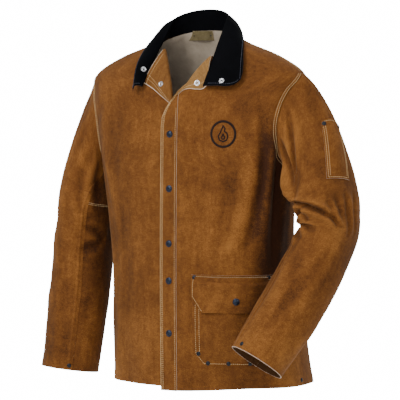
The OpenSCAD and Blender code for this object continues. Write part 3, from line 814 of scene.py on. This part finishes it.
T = 1.5  # thickness of the body's hide
BODY_Y = 30.0  # y of the upright line that the back's shading is measured round
FRONT_GRID = (num(84), num(190))
piece("back", f_back, (num(150), num(190)), T, LEATHER3, 0, (3, 0), shell, ["back_panel"],
      lambda u, v, P: back_painted_shading(P))
piece("left_front", f_left, FRONT_GRID, T, LEATHER3, 0, (1, 0), front_blend,
      ["left_front_panel", "left_front_edge"], lambda u, v, P: front_painted_shading(u, v, LEFT_RIM, 1))
piece("right_front", f_right, FRONT_GRID, T, LEATHER3, 0, (0, 1), shell, ["right_front_panel"],
      lambda u, v, P: front_painted_shading(u, v, RIGHT_RIM, -1), s=-1)

# placket band on the outside and its facing inside
BAND_R, BAND_GRID = 18.0, (num(16), num(170))


def f_band(u, v):
    v = A(v)
    xl, zl = rim_at(LEFT_RIM, mix(HEM, -113.5, v))
    zr = mix(HEM - DROP, -107.5, v)
    x, z = mix(xl, BAND_R, u), mix(zl, zr, u)
    return front(x, z, 0, True)


piece("placket_strip", f_band, BAND_GRID, T, LEATHER3, T + .1, (2, 2), front_blend, ["placket_band"])


def f_edge_in(u, v):
    zb = mix(HEM + 1, -132, A(v))
    xl, zl = rim_at(LEFT_RIM, zb)
    return front(mix(xl + .3, 30, u), mix(zl, zb, u), 0, True)


piece("placket_inside", f_edge_in, BAND_GRID, 1.4, [FACING, FACING, CUT], -1.5, (4, 2), front_blend,
      ["placket_facing"])


# lapels: from the free edge up and over the roll line, then down inside as the facing
TOP_ROWS, ROLL_ROWS, IN_ROWS = 20, 12, 12


def lapel(free, roll, on_left, bulge, r_in, reach):
    """Rows of points: r_in the facing's offset inside the front, reach how far down it goes there."""
    uu = np.linspace(0, 1, num(60) + 1)
    fx, fz = along(free, uu)
    rx, rz = along(roll, uu)
    dx, dz = rx - fx, rz - fz
    L = np.maximum(np.hypot(dx, dz), 1e-6)
    dx, dz = dx / L, dz / L
    grow = ease(uu / .35)
    pts = []
    hi = 2.4 + (bulge * grow)
    lo = np.full_like(uu, r_in)
    rad = (hi - lo) / 2
    for q in np.arange(TOP_ROWS + 1) / TOP_ROWS:
        off = 2.1 + (hi - 2.1) * (1 - (1 - q) ** 2) ** .8 + .8 * np.sin(np.pi * q) * grow
        pts.append((fx + (rx - fx) * q, fz + (rz - fz) * q, off))
    for k in range(1, ROLL_ROWS):
        a = math.pi * k / ROLL_ROWS
        out = rad * .8 * math.sin(a)
        pts.append((rx + dx * out, rz + dz * out, (hi + lo) / 2 + rad * math.cos(a)))
    for q in np.arange(IN_ROWS + 1) / IN_ROWS:
        pts.append((rx - dx * reach * q, rz - dz * reach * q * .9, lo - .6 * q))
    return front(*(np.stack(p) for p in zip(*pts)), on_left)


def lapel_piece(name, P, thick, mats, off, uv0):
    N = normals_of(P)
    sgn = -1.0 if np.mean(N[2:12, 10:-10, 1]) > 0 else 1.0
    return hide(name, P, thick, mats, off, N=N * sgn, flip=sgn, uv0=uv0), N * sgn


RL_P = lapel(RIGHT_FREE, RIGHT_ROLL, False, 6.5, -2.6, 46)
right_lapel, RL_N = lapel_piece("right_lapel", RL_P, 2.6, [FACING, SUEDE, CUT], -1.6, (5, 1))
shell(right_lapel)
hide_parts("right_front_facing")
LL_P = lapel(LEFT_FREE, LEFT_ROLL, True, 5.0, -2.4, 40)
left_lapel, LL_N = lapel_piece("left_lapel", LL_P, 2.4, [PALE, SUEDE, CUT], -1.4, (6, 1))
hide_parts("left_lapel_facing")
front_blend(left_lapel)


# ---------------------------------------------------------------- lining, loop, collar
def f_lining(u, v):
    q = 180 * A(u)
    top = 15 + 18 * sind(q)
    z = np.where(v < .6, mix(-330, TIP, v / .6), mix(TIP, top, (v - .6) / .4))
    c = arm_cut(z)
    return body(mix(91.5 + c, 268.5 - c, u), z)


piece("yoke_lining_cloth", f_lining, (num(110), num(90)), .8, [CLOTH] * 3, -2.6, (0, 3), shell,
      ["yoke_lining"],
      crumple=lambda u, v: .7 * noise(u * 9, v * 7, 31) + .5 * noise(u * 22, v * 16, 32) - .8)
LOOP = 196.0  # angle of the hanger loop round the body


def f_loop(u, v):
    ph, z = mix(LOOP + 20, LOOP - 20, A(u)), mix(11, 32, A(v))
    p = body(ph, z)
    n = unit(p * stack(1, 1, 0) - stack(0, 20, 0))
    return p - n * (4.2 + 6 * ease(np.minimum(u, 1 - u) / .4))[..., None]


piece("hanger_strip", f_loop, (30, 6), 1.3, [STRIP, STRIP, CUT], 0, (7, 1), shell, ["hanger_loop"])


def f_stand(u, v):
    q = mix(-.8, .8, A(u))
    return mix(neck_q(q), roll_q(q), mix(-.08, .985, A(v))[..., None])


piece("collar_stand_band", f_stand, (num(110), 16), 1.4, PIG3, .4, (1, 4), shell, ["collar_stand"],
      crumple=lambda u, v: .35 * noise(u * 30, v * 5, 41))

LEAF_LEN, LEAF_W, LEAF_R, LEAF_TURN = 235.0, 85.0, {1: 44.0, -1: 5.0}, 1.9


def f_leaf(s):
    """A collar leaf with a rounded corner; beyond v 1 it turns in at the roll line."""
    def fun(u, v):
        u, v = A(u), A(v)
        w, r = np.clip(v, 0, 1) * LEAF_W, LEAF_R[s]
        cut = np.where(w < r, r - np.sqrt(np.maximum(r ** 2 - (r - w) ** 2, 0)), 0) / LEAF_LEN
        q = s * u * (1 - cut)
        base = leaf(q, np.minimum(v, 1) * .985, 0)
        a, b = roll_q(q), edge_q(q)
        o = unit(np.cross(b - a, roll_q(q + .01) - roll_q(q - .01)))
        d = unit(a - b)
        ang = np.clip(v - 1, 0, .3) / .3 * 150
        return base + d * (LEAF_TURN * sind(ang))[..., None] + o * (LEAF_TURN * (1 - cosd(ang)))[..., None]
    return fun


def collar_blend(o):
    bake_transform(o)


SIDE = {1: "left", -1: "right"}
LEAVES = {}
for s in (1, -1):
    uu = np.linspace(0, 1, num(120) + 1)[::s]
    vv = np.concatenate([np.linspace(0, 1, 33), np.linspace(1.04, 1.3, 7)])
    U, V = np.meshgrid(uu, vv)
    P = f_leaf(s)(U, V)
    N = -normals_of(P)
    P = P + N * (.3 * noise(U * 9 + 3, V * 4, 43 + s) * ease((1.02 - V) / .2))[..., None]
    o = hide(SIDE[s] + "_collar_leaf", P, 2.4, PIG3, -1.2, N=N, flip=-1.0, uv0=(2 + s, 5))
    collar_blend(o)
    LEAVES[s] = (o, P, N)
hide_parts("left_collar_fall", "left_under_collar", "collar_back_fall")
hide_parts("right_collar_fall", "right_under_collar")


# ---------------------------------------------------------------- sleeves
def top_ps(u, t):
    return mix(-126.5, seam_ps(t) + 1.6, u)


def under_ps(u, t):
    return mix(seam_ps(t) - 3.5, 238.0, u)


def f_top(s):
    def fun(u, v):
        t = A(v)
        return arm(s, top_ps(A(u), t), t, 0)
    return fun


def f_under(s):
    """The under panel, tucked a little below the top panel at both seams."""
    def fun(u, v):
        t, u = A(v), A(u)
        tuck = -1.7 * (1 - ease(u / .16)) - 1.7 * (1 - ease((1 - u) / .10))
        return arm(s, under_ps(u, t), t, tuck)
    return fun


SLEEVE_D = {1: A([.954, 0, -.298]), -1: A([-.954, 0, -.298])}


def upper_blend(o, s):
    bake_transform(o)


def elbow_blend(o, s):
    p, q = axis_p(s, ELBOW[s] - .045), axis_p(s, ELBOW[s] + .05)
    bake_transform(o)


for s in (1, -1):
    split = ELBOW[s] - .06
    for part, fun, angle, nu, x0 in (("top", f_top(s), top_ps, 150, 5),
                                     ("under", f_under(s), under_ps, 60, 7)):
        run = 0.0  # the forearm's map goes on from where the upper piece's ends
        for lo, hi, place, n in ((0.0, split, "upper", 100), (split, 1.0, "forearm", 150)):
            U, V = grid(num(nu), num(n), lo, hi)
            U = U[:, ::s]
            P, N = surf(fun, U, V)
            N = N * s
            node = SIDE[s] + "_" + place + "_" + part
            ps = angle(U, V)
            # painted shade in the creases and painted light on the ridges; the under panel is painted a
            # little darker as shade
            painted_shading = .15 * np.tanh(arm_relief(s, ps, V) / 3) - (.06 if part == "under" else 0)
            # painted shadow on the right under panel where it lies beside the body
            if s < 0:
                painted_shading = painted_shading - (.15 * ease((V - .05) / .1) * ease((.46 - V) / .12)
                               * ease((ps - 138) / 16) * ease((215 - ps) / 20))
            o = hide(node + "_hide", P, 1.4, LEATHER3, -1.4, N=N, uv0=(x0 + s, 6 + run), painted_shading=painted_shading)
            run = AREAS[o.name][2] / 1000
            steady(o, N)
            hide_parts(node)
            (upper_blend if place == "upper" else elbow_blend)(o, s)


# ---------------------------------------------------------------- pockets
def on_left(ph, z, out):
    """A point out mm in front of the left front, level with it."""
    ph, z, out = np.broadcast_arrays(A(ph), A(z), A(out))
    P = body(ph, z, 0, True)
    e = 0.5
    d = body0(ph + e, z) - body0(ph - e, z)
    n = unit(np.cross(d, np.broadcast_to(A([0, 0, 1]), d.shape)))
    return P + n * out[..., None]


def pocket_x(x0, x1, u, z):
    return mix(ph_x(x0, z), ph_x(x1, z), u)


def f_bag(u, v):
    u, v = A(u), A(v)
    z = np.where(v < .2, mix(PBOT, PBOT + PCUT, v / .2), mix(PBOT + PCUT, PTOP, (v - .2) / .8))
    c = np.maximum(0, PBOT + PCUT - z)
    k = np.clip(sind(180 * np.clip(u, 0, 1)), 0, 1)
    edge = ease(np.minimum(np.minimum(u, 1 - u) / .09, (z - PBOT) / 14))
    puff = (PBULGE * k ** .7 * ease((z - PBOT) / 70)
            + edge * (1.3 * noise(u * 4, z / 55, 51) + 1.0 * noise(u * 9 + 2, z / 24, 52)))
    return on_left(pocket_x(PX0 + c, PX1 - c, u, z), z, puff)


# the bag's painted shadow: darker towards its right, under the left arm
piece("pocket_bag_hide", f_bag, (num(90), num(110)), 1.6, LEATHER3, T + .3, (8, 2), shell, ["pocket_bag"],
      lambda u, v, P: -.14 * ease((u - .5) / .4))


FLAP_TOP = PTOP + 4
FLAP_LOW = FLAP_TOP - FLAP
FLAP_CORNER = 34
FLAP_CUT = FLAP_LOW + FLAP_CORNER  # height where the corners are cut


def f_flap(u, v):
    u, v = A(u), A(v)
    z = np.where(v < .35, mix(FLAP_LOW, FLAP_CUT, v / .35), mix(FLAP_CUT, FLAP_TOP, (v - .35) / .65))
    c = 0.75 * np.maximum(0, FLAP_CUT - z)
    ph = pocket_x(PX0 - 2 + c, PX1 + 2 - c, u, z)
    a, b = ph_x(PX0, z), ph_x(PX1, z)
    k = np.clip(sind(180 * np.clip((ph - a) / (b - a), 0, 1)), 0, 1)
    fall = ease((FLAP_TOP - 3 - z) / 20)
    wave = noise(u * 4 + 5, z / 30, 53) + 1.6 * ease((FLAP_LOW + 26 - z) / 30) * np.sin(u * 9 + .6)
    return on_left(ph, z, mix(2.0, PBULGE * k ** .5 + 5.2, fall) + fall * wave)


def flap_blend(o):
    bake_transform(o)


# the flap's painted shadow: darker towards its right, under the left arm
piece("pocket_flap_hide", f_flap, (num(90), num(60)), 1.6, LEATHER3, 0, (9, 2), flap_blend, ["pocket_flap"],
      lambda u, v, P: -.20 * ease((u - .42) / .4))
PEN_T, PEN_LEN = .165, 116.0  # start along the sleeve, and length in mm


def f_pencil(u, v):
    """The pencil pocket, turned a little on the sleeve."""
    u, v = A(u), A(v)
    ps = mix(4, 23, v) + mix(-24, 24, u) * mix(1, .88, v)
    t = mix(PEN_T, PEN_T + PEN_LEN / 740, v) + .012 * (.7 - 2 * u)
    k = np.clip(sind(180 * np.clip(u, 0, 1)), 0, 1)
    return arm(1, ps, t, .4 + 4.2 * k * ease((1 - v) / .3) + .5 * noise(u * 4, v * 6, 55) * k)


piece("pencil_pocket_hide", f_pencil, (num(50), num(70)), 1.5, LEATHER3, 0, (9, 5),
      lambda o: upper_blend(o, 1), ["pencil_pocket"])


# ---------------------------------------------------------------- fastenings
# profiles of radius and height
CAP = [(0, -1.6), (2.2, -1.6), (2.2, -.3), (7.1, -.3), (7.5, 0), (7.55, .5), (7.2, 1.0), (6.6, 1.25),
       (6.25, 1.15), (5.9, 1.35), (5.0, 1.85), (3.6, 2.3), (1.8, 2.55), (0, 2.6)]
RING = [(0, -1.4), (2.0, -1.4), (2.0, .15), (5.6, .15), (6.1, .35), (6.2, .8), (5.9, 1.25), (5.3, 1.4),
        (4.6, 1.2), (4.1, .75), (3.4, .7), (3.0, 1.0), (2.6, 1.05), (2.3, .8), (2.1, -.1), (0, -.2)]
SOCKET = [(2.4, 0), (5.3, 0), (5.7, .3), (5.7, .9), (5.2, 1.35), (4.2, 1.4), (3.4, 1.1), (2.7, 1.4),
          (2.4, 1.2), (2.4, 0)]
STUD = [(0, -1.8), (5.0, -1.8), (5.0, -1.1), (1.3, -1.1), (1.3, 0), (5.4, 0), (5.6, .25), (5.2, .7),
        (3.2, .85), (2.1, 1.0), (1.8, 1.7), (2.0, 2.2), (1.6, 2.6), (.9, 2.75), (0, 2.75)]
RIVET = [(0, -2.2), (1.3, -2.2), (1.3, -.2), (4.4, -.2), (4.75, .1), (4.7, .55), (4.1, 1.05), (2.8, 1.5),
         (1.4, 1.7), (0, 1.75)]


def spot(fun, u, v, off, flip=1.0):
    """One place on a surface and the way it faces, off mm above it."""
    P, N = surf(fun, A([u]), A([v]))
    n = N[0] * flip
    return P[0] + n * off, n


def left_at(x, z, off):
    return spot(lambda a, b: front(x + a, z + b, 0, True), 0, 0, off)


def right_at(x, z, off):
    p = front(A([x]), A([z]), off)[0]
    e = front(A([x - 1, x + 1, x, x]), A([z, z, z - 1, z + 1]), off)
    return p, unit(np.cross(e[1] - e[0], e[3] - e[2]))


def fitted(name, places, profile, mat, n, ride, node):
    """Hardware that rides with its body and stands for its CAD node."""
    o = hardware(name, places, profile, mat, n)
    ride(o)
    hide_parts(node)


def placket(o):
    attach(o, "placket")


def flap_ride(o):
    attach(o, "flap")


fitted("snap_caps", [left_at(0, z, T + .1 + 1.5) for z in SNAP_Z], CAP, GUN, 40,
       placket, "front_snap_caps")
places = [(p - n * 3.0, -n) for p, n in (left_at(0, z, 1.6) for z in SNAP_Z)]
fitted("snap_sockets", places, SOCKET, NICKEL, 32, placket, "front_snap_sockets")
fitted("snap_studs", [right_at(0, z, T + .1) for z in SNAP_Z], STUD, GUN, 28,
       shell, "front_snap_studs")


def share(x, x0, x1, z):
    """How far x is from x0 to x1, measured round the body."""
    a, b = ph_x(x0, z), ph_x(x1, z)
    return float((ph_x(x, z) - a) / (b - a))


def flap_uv(x, z):
    v = .35 * (z - FLAP_LOW) / FLAP_CORNER
    if z >= FLAP_CUT:
        v = .35 + .65 * (z - FLAP_CUT) / (FLAP_TOP - FLAP_CUT)
    c = 0.75 * max(0, FLAP_CUT - z)
    return share(x, PX0 - 2 + c, PX1 + 2 - c, z), v


def bag_uv(x, z):
    v = .2 * (z - PBOT) / PCUT if z < PBOT + PCUT else .2 + .8 * (z - PBOT - PCUT) / (PTOP - PBOT - PCUT)
    c = max(0, PBOT + PCUT - z)
    return share(x, PX0 + c, PX1 - c, z), v


BAG_OFF, FLAP_SNAP = T + .3 + 1.7, (147, -548)
p, n = spot(f_flap, *flap_uv(*FLAP_SNAP), 1.7)
fitted("flap_cap", [(p, n)], CAP, GUN, 40, flap_ride, "flap_snap_cap")
fitted("flap_socket", [(p - n * 1.9, -n)], SOCKET, NICKEL, 32, flap_ride, "flap_snap_socket")
fitted("pocket_stud", [spot(f_bag, *bag_uv(*FLAP_SNAP), BAG_OFF)], [(r, z * .6) for r, z in STUD], GUN, 28,
       shell, "pocket_snap_stud")
BAG_RIVETS = ((PX0 + 13, PBOT + 25), (PX0 + 33, PBOT + 5.5), (PX0 + 75, PBOT + 5), (PX1 - 34, PBOT + 5.5),
              (PX1 - 7, PBOT + 30))
places = [spot(f_bag, *bag_uv(*at), BAG_OFF) for at in BAG_RIVETS]
places += [spot(f_flap, *flap_uv(x, PTOP - 1.5), 1.7) for x in (PX0 + 5, PX1 - 5)]
fitted("pocket_rivet_set", places, RIVET, BLACKMETAL, 28, shell, "pocket_rivets")
places = [spot(lambda a, b: body(ph + A(a), HEM + 12 + A(b)), 0, 0, T + .1) for ph in (88.4, -88.4)]
fitted("hem_rivet_pair", places, RIVET, BLACKMETAL, 28, shell, "hem_rivets")
places = [(p + n * .2, n) for p, n in (spot(f_loop, u, .5, -.1, -1.0) for u in (.12, .88))]
fitted("loop_rivet_pair", places, RIVET, BLACKMETAL, 28, shell, "hanger_loop_rivets")
fitted("pencil_rivet_pair", [spot(f_pencil, u, .06, 1.6) for u in (.10, .90)], RIVET, BLACKMETAL, 28,
       lambda o: upper_blend(o, 1), "pencil_pocket_rivets")
for s, ps, t in ((1, 103, .981), (-1, 123, .984)):
    place = spot(lambda a, b: arm(s, ps + A(a) * 10, t + A(b)), 0, 0, .1, s)
    fitted(SIDE[s] + "_wrist_rivet", [place], RIVET, BLACKMETAL, 28,
           lambda o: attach(o, SIDE[s] + "_forearm"), SIDE[s] + "_cuff_rivet")


def grid_spot(P, N, i, j, off):
    return P[i, j] + N[i, j] * off, N[i, j]


cols = RL_P.shape[1]
lap = [grid_spot(RL_P, RL_N, 9, int(cols * .52), .6), grid_spot(LL_P, LL_N, 5, int(cols * .77), .8)]
fitted("lapel_rings", lap, RING, NICKEL, 36, shell, "lapel_snaps")
for s, row, share_along in ((1, 17, .9515), (-1, 22, .1545)):
    o, P, N = LEAVES[s]
    place = grid_spot(P, N, row, int(P.shape[1] * share_along), 1.25)
    fitted(SIDE[s] + "_collar_ring", [place], RING, NICKEL, 36,
           lambda o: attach(o, "collar_" + SIDE[s]), SIDE[s] + "_collar_snap")


# ---------------------------------------------------------------- stitching
def seam(name, fun, runs, off, ride, flip=1.0):
    """Straight runs of stitches over a piece, each from u0, v0 to u1, v1."""
    lines = []
    for u0, u1, v0, v1 in runs:
        P, N = surf(fun, np.linspace(u0, u1, 160), np.linspace(v0, v1, 160))
        lines.append((P + N * flip * off, N * flip))
    ride(stitches(name, lines, THREAD))


seam("placket_stitches", f_band, [(.085, .085, .004, .985), (.155, .155, .004, .97), (.90, .90, .004, .955)],
     T + 1.6, front_blend)


def poly_line(P, N, i, j0, j1, off):
    return P[i, j0:j1] + N[i, j0:j1] * off, N[i, j0:j1]


shell(stitches("right_lapel_stitches", [poly_line(RL_P, RL_N, 3, 4, cols - 3, .55),
                                        poly_line(RL_P, RL_N, 5, 10, cols - 3, .55)], THREAD))
front_blend(stitches("left_lapel_stitches", [poly_line(LL_P, LL_N, 4, 6, cols - 2, .75)], THREAD))


def cord(name, lines, ride, r, mat=CUT):
    """The pale cut edge of the hide, laid along an edge that shows."""
    ride(stitches(name, lines, mat, 2.0, 2.6, r, .3))


side = slice(0, TOP_ROWS + 1)
cord("right_lapel_edge", [(RL_P[0] + RL_N[0] * .2, RL_N[0]), (RL_P[side, -1], RL_N[side, -1])], shell, 1.1)
cord("left_lapel_edge", [(LL_P[0] + LL_N[0] * .2, LL_N[0])], front_blend, 1.1)
shell(stitches("right_lapel_side_stitches", [(RL_P[side, -6] + RL_N[side, -6] * .9, RL_N[side, -6])], THREAD))
P, N = surf(f_band, np.full(400, .004), np.linspace(.002, 1, 400))
cord("placket_edge", [(P + N * (T + 1.2), N)], front_blend, .8, THREAD)
cuff = (np.linspace(.01, .99, 300), np.full(300, .9985))
cord("left_cuff_edge", [surf(f_top(1), *cuff), surf(f_under(1), *cuff)],
     lambda o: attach(o, "left_forearm"), .5)
seam("pocket_stitches", f_bag, [(.035, .035, .02, .8), (.965, .965, .02, .8), (.03, .97, .035, .035),
                                (.075, .075, .22, .8)], T + .3 + 1.6, shell)
seam("flap_top_stitches", f_flap, [(.02, .98, .945, .945), (.02, .98, .865, .865)], 1.6, flap_blend)
seam("flap_stitches", f_flap, [(.022, .022, .03, .93), (.978, .978, .03, .93)], 1.6, flap_blend)
seam("pencil_stitches", f_pencil, [(.06, .06, .1, .97), (.94, .94, .1, .97), (.06, .94, .972, .972),
                                   (.03, .97, .03, .03), (.13, .13, .1, .94), (.87, .87, .1, .94)],
     1.5, lambda o: upper_blend(o, 1))
for s in (1, -1):
    def hole_edge(u, v, s=s):
        """A line on the body just inside the armhole seam."""
        ps = 360 * A(u)
        z = (ARMPIT + TIP) / 2 + (TIP - ARMPIT) / 2 * .985 * cosd(ps)
        c = arm_cut(z) + .9 + A(v)
        return body(s * np.where(sind(ps) > 0, 90 - c, 90 + c), z, 0)
    lines = []
    for k in (.35, 1.9):
        for a, b in ((.02, .48), (.52, .98)):
            P, N = surf(hole_edge, np.linspace(a, b, 240), np.full(240, k))
            out = unit(P - stack(0, 20, P[..., 2]))
            N = np.where((N * out).sum(-1, keepdims=True) < 0, -N, N)
            lines.append((P + N * T, N))
    shell(stitches(SIDE[s] + "_armhole_stitches", lines, THREAD))
seam("right_cross_seam", f_under(-1), [(.04, .90, .352, .364), (.04, .90, .360, .372)], 0,
     lambda o: upper_blend(o, -1), -1)
for s, fun in ((1, f_left), (-1, f_right)):
    seam(SIDE[s] + "_shoulder_stitches", fun, [(.982, .982, .865, .995)], T, shell, s)
for s in (1, -1):
    o, P, N = LEAVES[s]
    c = P.shape[1]
    first, last, j = (3, c - 1, c - 3) if s > 0 else (1, c - 3, 2)
    i = slice(3, 30)
    lines = [poly_line(P, N, 2, first, last, 1.2), (P[i, j] + N[i, j] * 1.2, N[i, j])]
    collar_blend(stitches(SIDE[s] + "_collar_stitches", lines, DARK_THREAD))


# ---------------------------------------------------------------- scorched mark, a flame in a ring
def ribbon(pts, w):
    """Two rows of points either side of a closed line."""
    d = unit(np.roll(pts, -1, 0) - np.roll(pts, 1, 0))
    n = np.column_stack([-d[:, 1], d[:, 0]]) * w / 2
    return pts + n, pts - n


def closed(corners, n):
    """n points evenly along a closed chain of corners."""
    c = np.concatenate([corners, corners[:1]])
    d = np.concatenate([[0], np.cumsum(np.hypot(*np.diff(c, axis=0).T))])
    k = np.linspace(0, d[-1], n + 1)[:-1]
    return np.column_stack([np.interp(k, d, c[:, 0]), np.interp(k, d, c[:, 1])])


flame = A([[0, 17], [4, 11], [2.5, 6], [8, 2], [10, -5], [7.5, -12], [0, -15.5], [-8, -12], [-10.5, -4],
           [-6, 3], [-3.5, 9]])
turn = np.linspace(0, 360, 91)[:-1]
ring = 27 * np.column_stack([cosd(turn), sind(turn)])
MARK_X, MARK_Z = 125, -192
V, F = [], []
for corners, n, w in ((ring, 90, 5.0), (flame * 1.05, 90, 3.2), (flame * .36 - A([0, 5.5]), 60, 3.0)):
    a, b = ribbon(closed(corners, n), w)
    k = sum(len(v) for v in V)
    for off in (T + .14, T - .3):
        for row in (a, b):
            V.append(front(MARK_X + row[:, 0], MARK_Z + row[:, 1], off, True))
    for i in range(n):
        j = (i + 1) % n
        for p, q in ((0, 1), (1, 3), (3, 2), (2, 0)):
            F.append((k + p * n + i, k + p * n + j, k + q * n + j, k + q * n + i))
V = np.concatenate(V)
mark = mesh_object("chest_mark", V, F, [SCORCH], uvs=V[:, (0, 2)] / 1000)
shell(mark)

# ---------------------------------------------------------------- each soft piece's object, looked up by name
for name, (area, w, h) in AREAS.items():
    o = bpy.data.objects[name]

# ---------------------------------------------------------------- floor, light, camera
WHITE = 16.0  # how bright the floor and the surroundings look to the camera


def white_to_camera(nt, shader, kind, out):
    """shader, but plain white where the camera sees it."""
    glow = nt.nodes.new(kind)
    glow.inputs["Strength"].default_value = WHITE
    glow.inputs["Color"].default_value = (1, 1, 1, 1)
    seen = nt.nodes.new("ShaderNodeLightPath")
    both = nt.nodes.new("ShaderNodeMixShader")
    nt.links.new(seen.outputs["Is Camera Ray"], both.inputs[0])
    nt.links.new(shader.outputs[0], both.inputs[1])
    nt.links.new(glow.outputs[0], both.inputs[2])
    nt.links.new(both.outputs[0], out.inputs[0])


bpy.ops.mesh.primitive_circle_add(vertices=96, radius=40, fill_type="NGON", location=(0, 0, -1.15))
floor = bpy.context.object
floor.name = "floor"
fm, nt, b = base_mat("paper_white")
b.inputs["Base Color"].default_value = (.93, .93, .93, 1)
b.inputs["Roughness"].default_value = .95
white_to_camera(nt, b, "ShaderNodeEmission", nt.nodes["Material Output"])
floor.data.materials.append(fm)
world = bpy.data.worlds.new("studio")
bpy.context.scene.world = world
world.use_nodes = True
soft = world.node_tree.nodes["Background"]
soft.inputs[0].default_value = (1, 1, 1, 1)
soft.inputs[1].default_value = 0.55
white_to_camera(world.node_tree, soft, "ShaderNodeBackground", world.node_tree.nodes["World Output"])


def area_light(name, loc, aim, size, power, colour=(1, 1, 1)):
    d = bpy.data.lights.new(name, "AREA")
    d.energy, d.size, d.color = power, size, colour
    o = bpy.data.objects.new(name, d)
    o.location = loc
    o.rotation_euler = (Vector(aim) - Vector(loc)).to_track_quat("-Z", "Y").to_euler()
    bpy.context.scene.collection.objects.link(o)
    return o


area_light("key", (-.9, -3.3, 2.1), (0, 0, -.35), 1.5, 80)
area_light("top", (-.1, -1.5, 2.5), (0, .02, -.1), .9, 14)
area_light("front", (.9, -3.4, .5), (0, 0, -.2), 1.0, 13)
area_light("fill", (3.6, -1.6, .8), (0, 0, -.4), 1.8, 26)
area_light("back_rim", (1.2, 2.6, 1.8), (0, 0, -.3), 1.5, 14)

cam_data = bpy.data.cameras.new("camera")
cam = bpy.data.objects.new("camera", cam_data)
bpy.context.scene.collection.objects.link(cam)
cam.location = (2.9146, -4.6643, -.110)
cam.rotation_euler = (Vector((.0068, .0042, -.338)) - cam.location).to_track_quat("-Z", "Y").to_euler()
cam_data.lens, cam_data.sensor_width = 227, 36
cam_data.clip_end = 200
bpy.context.scene.camera = cam
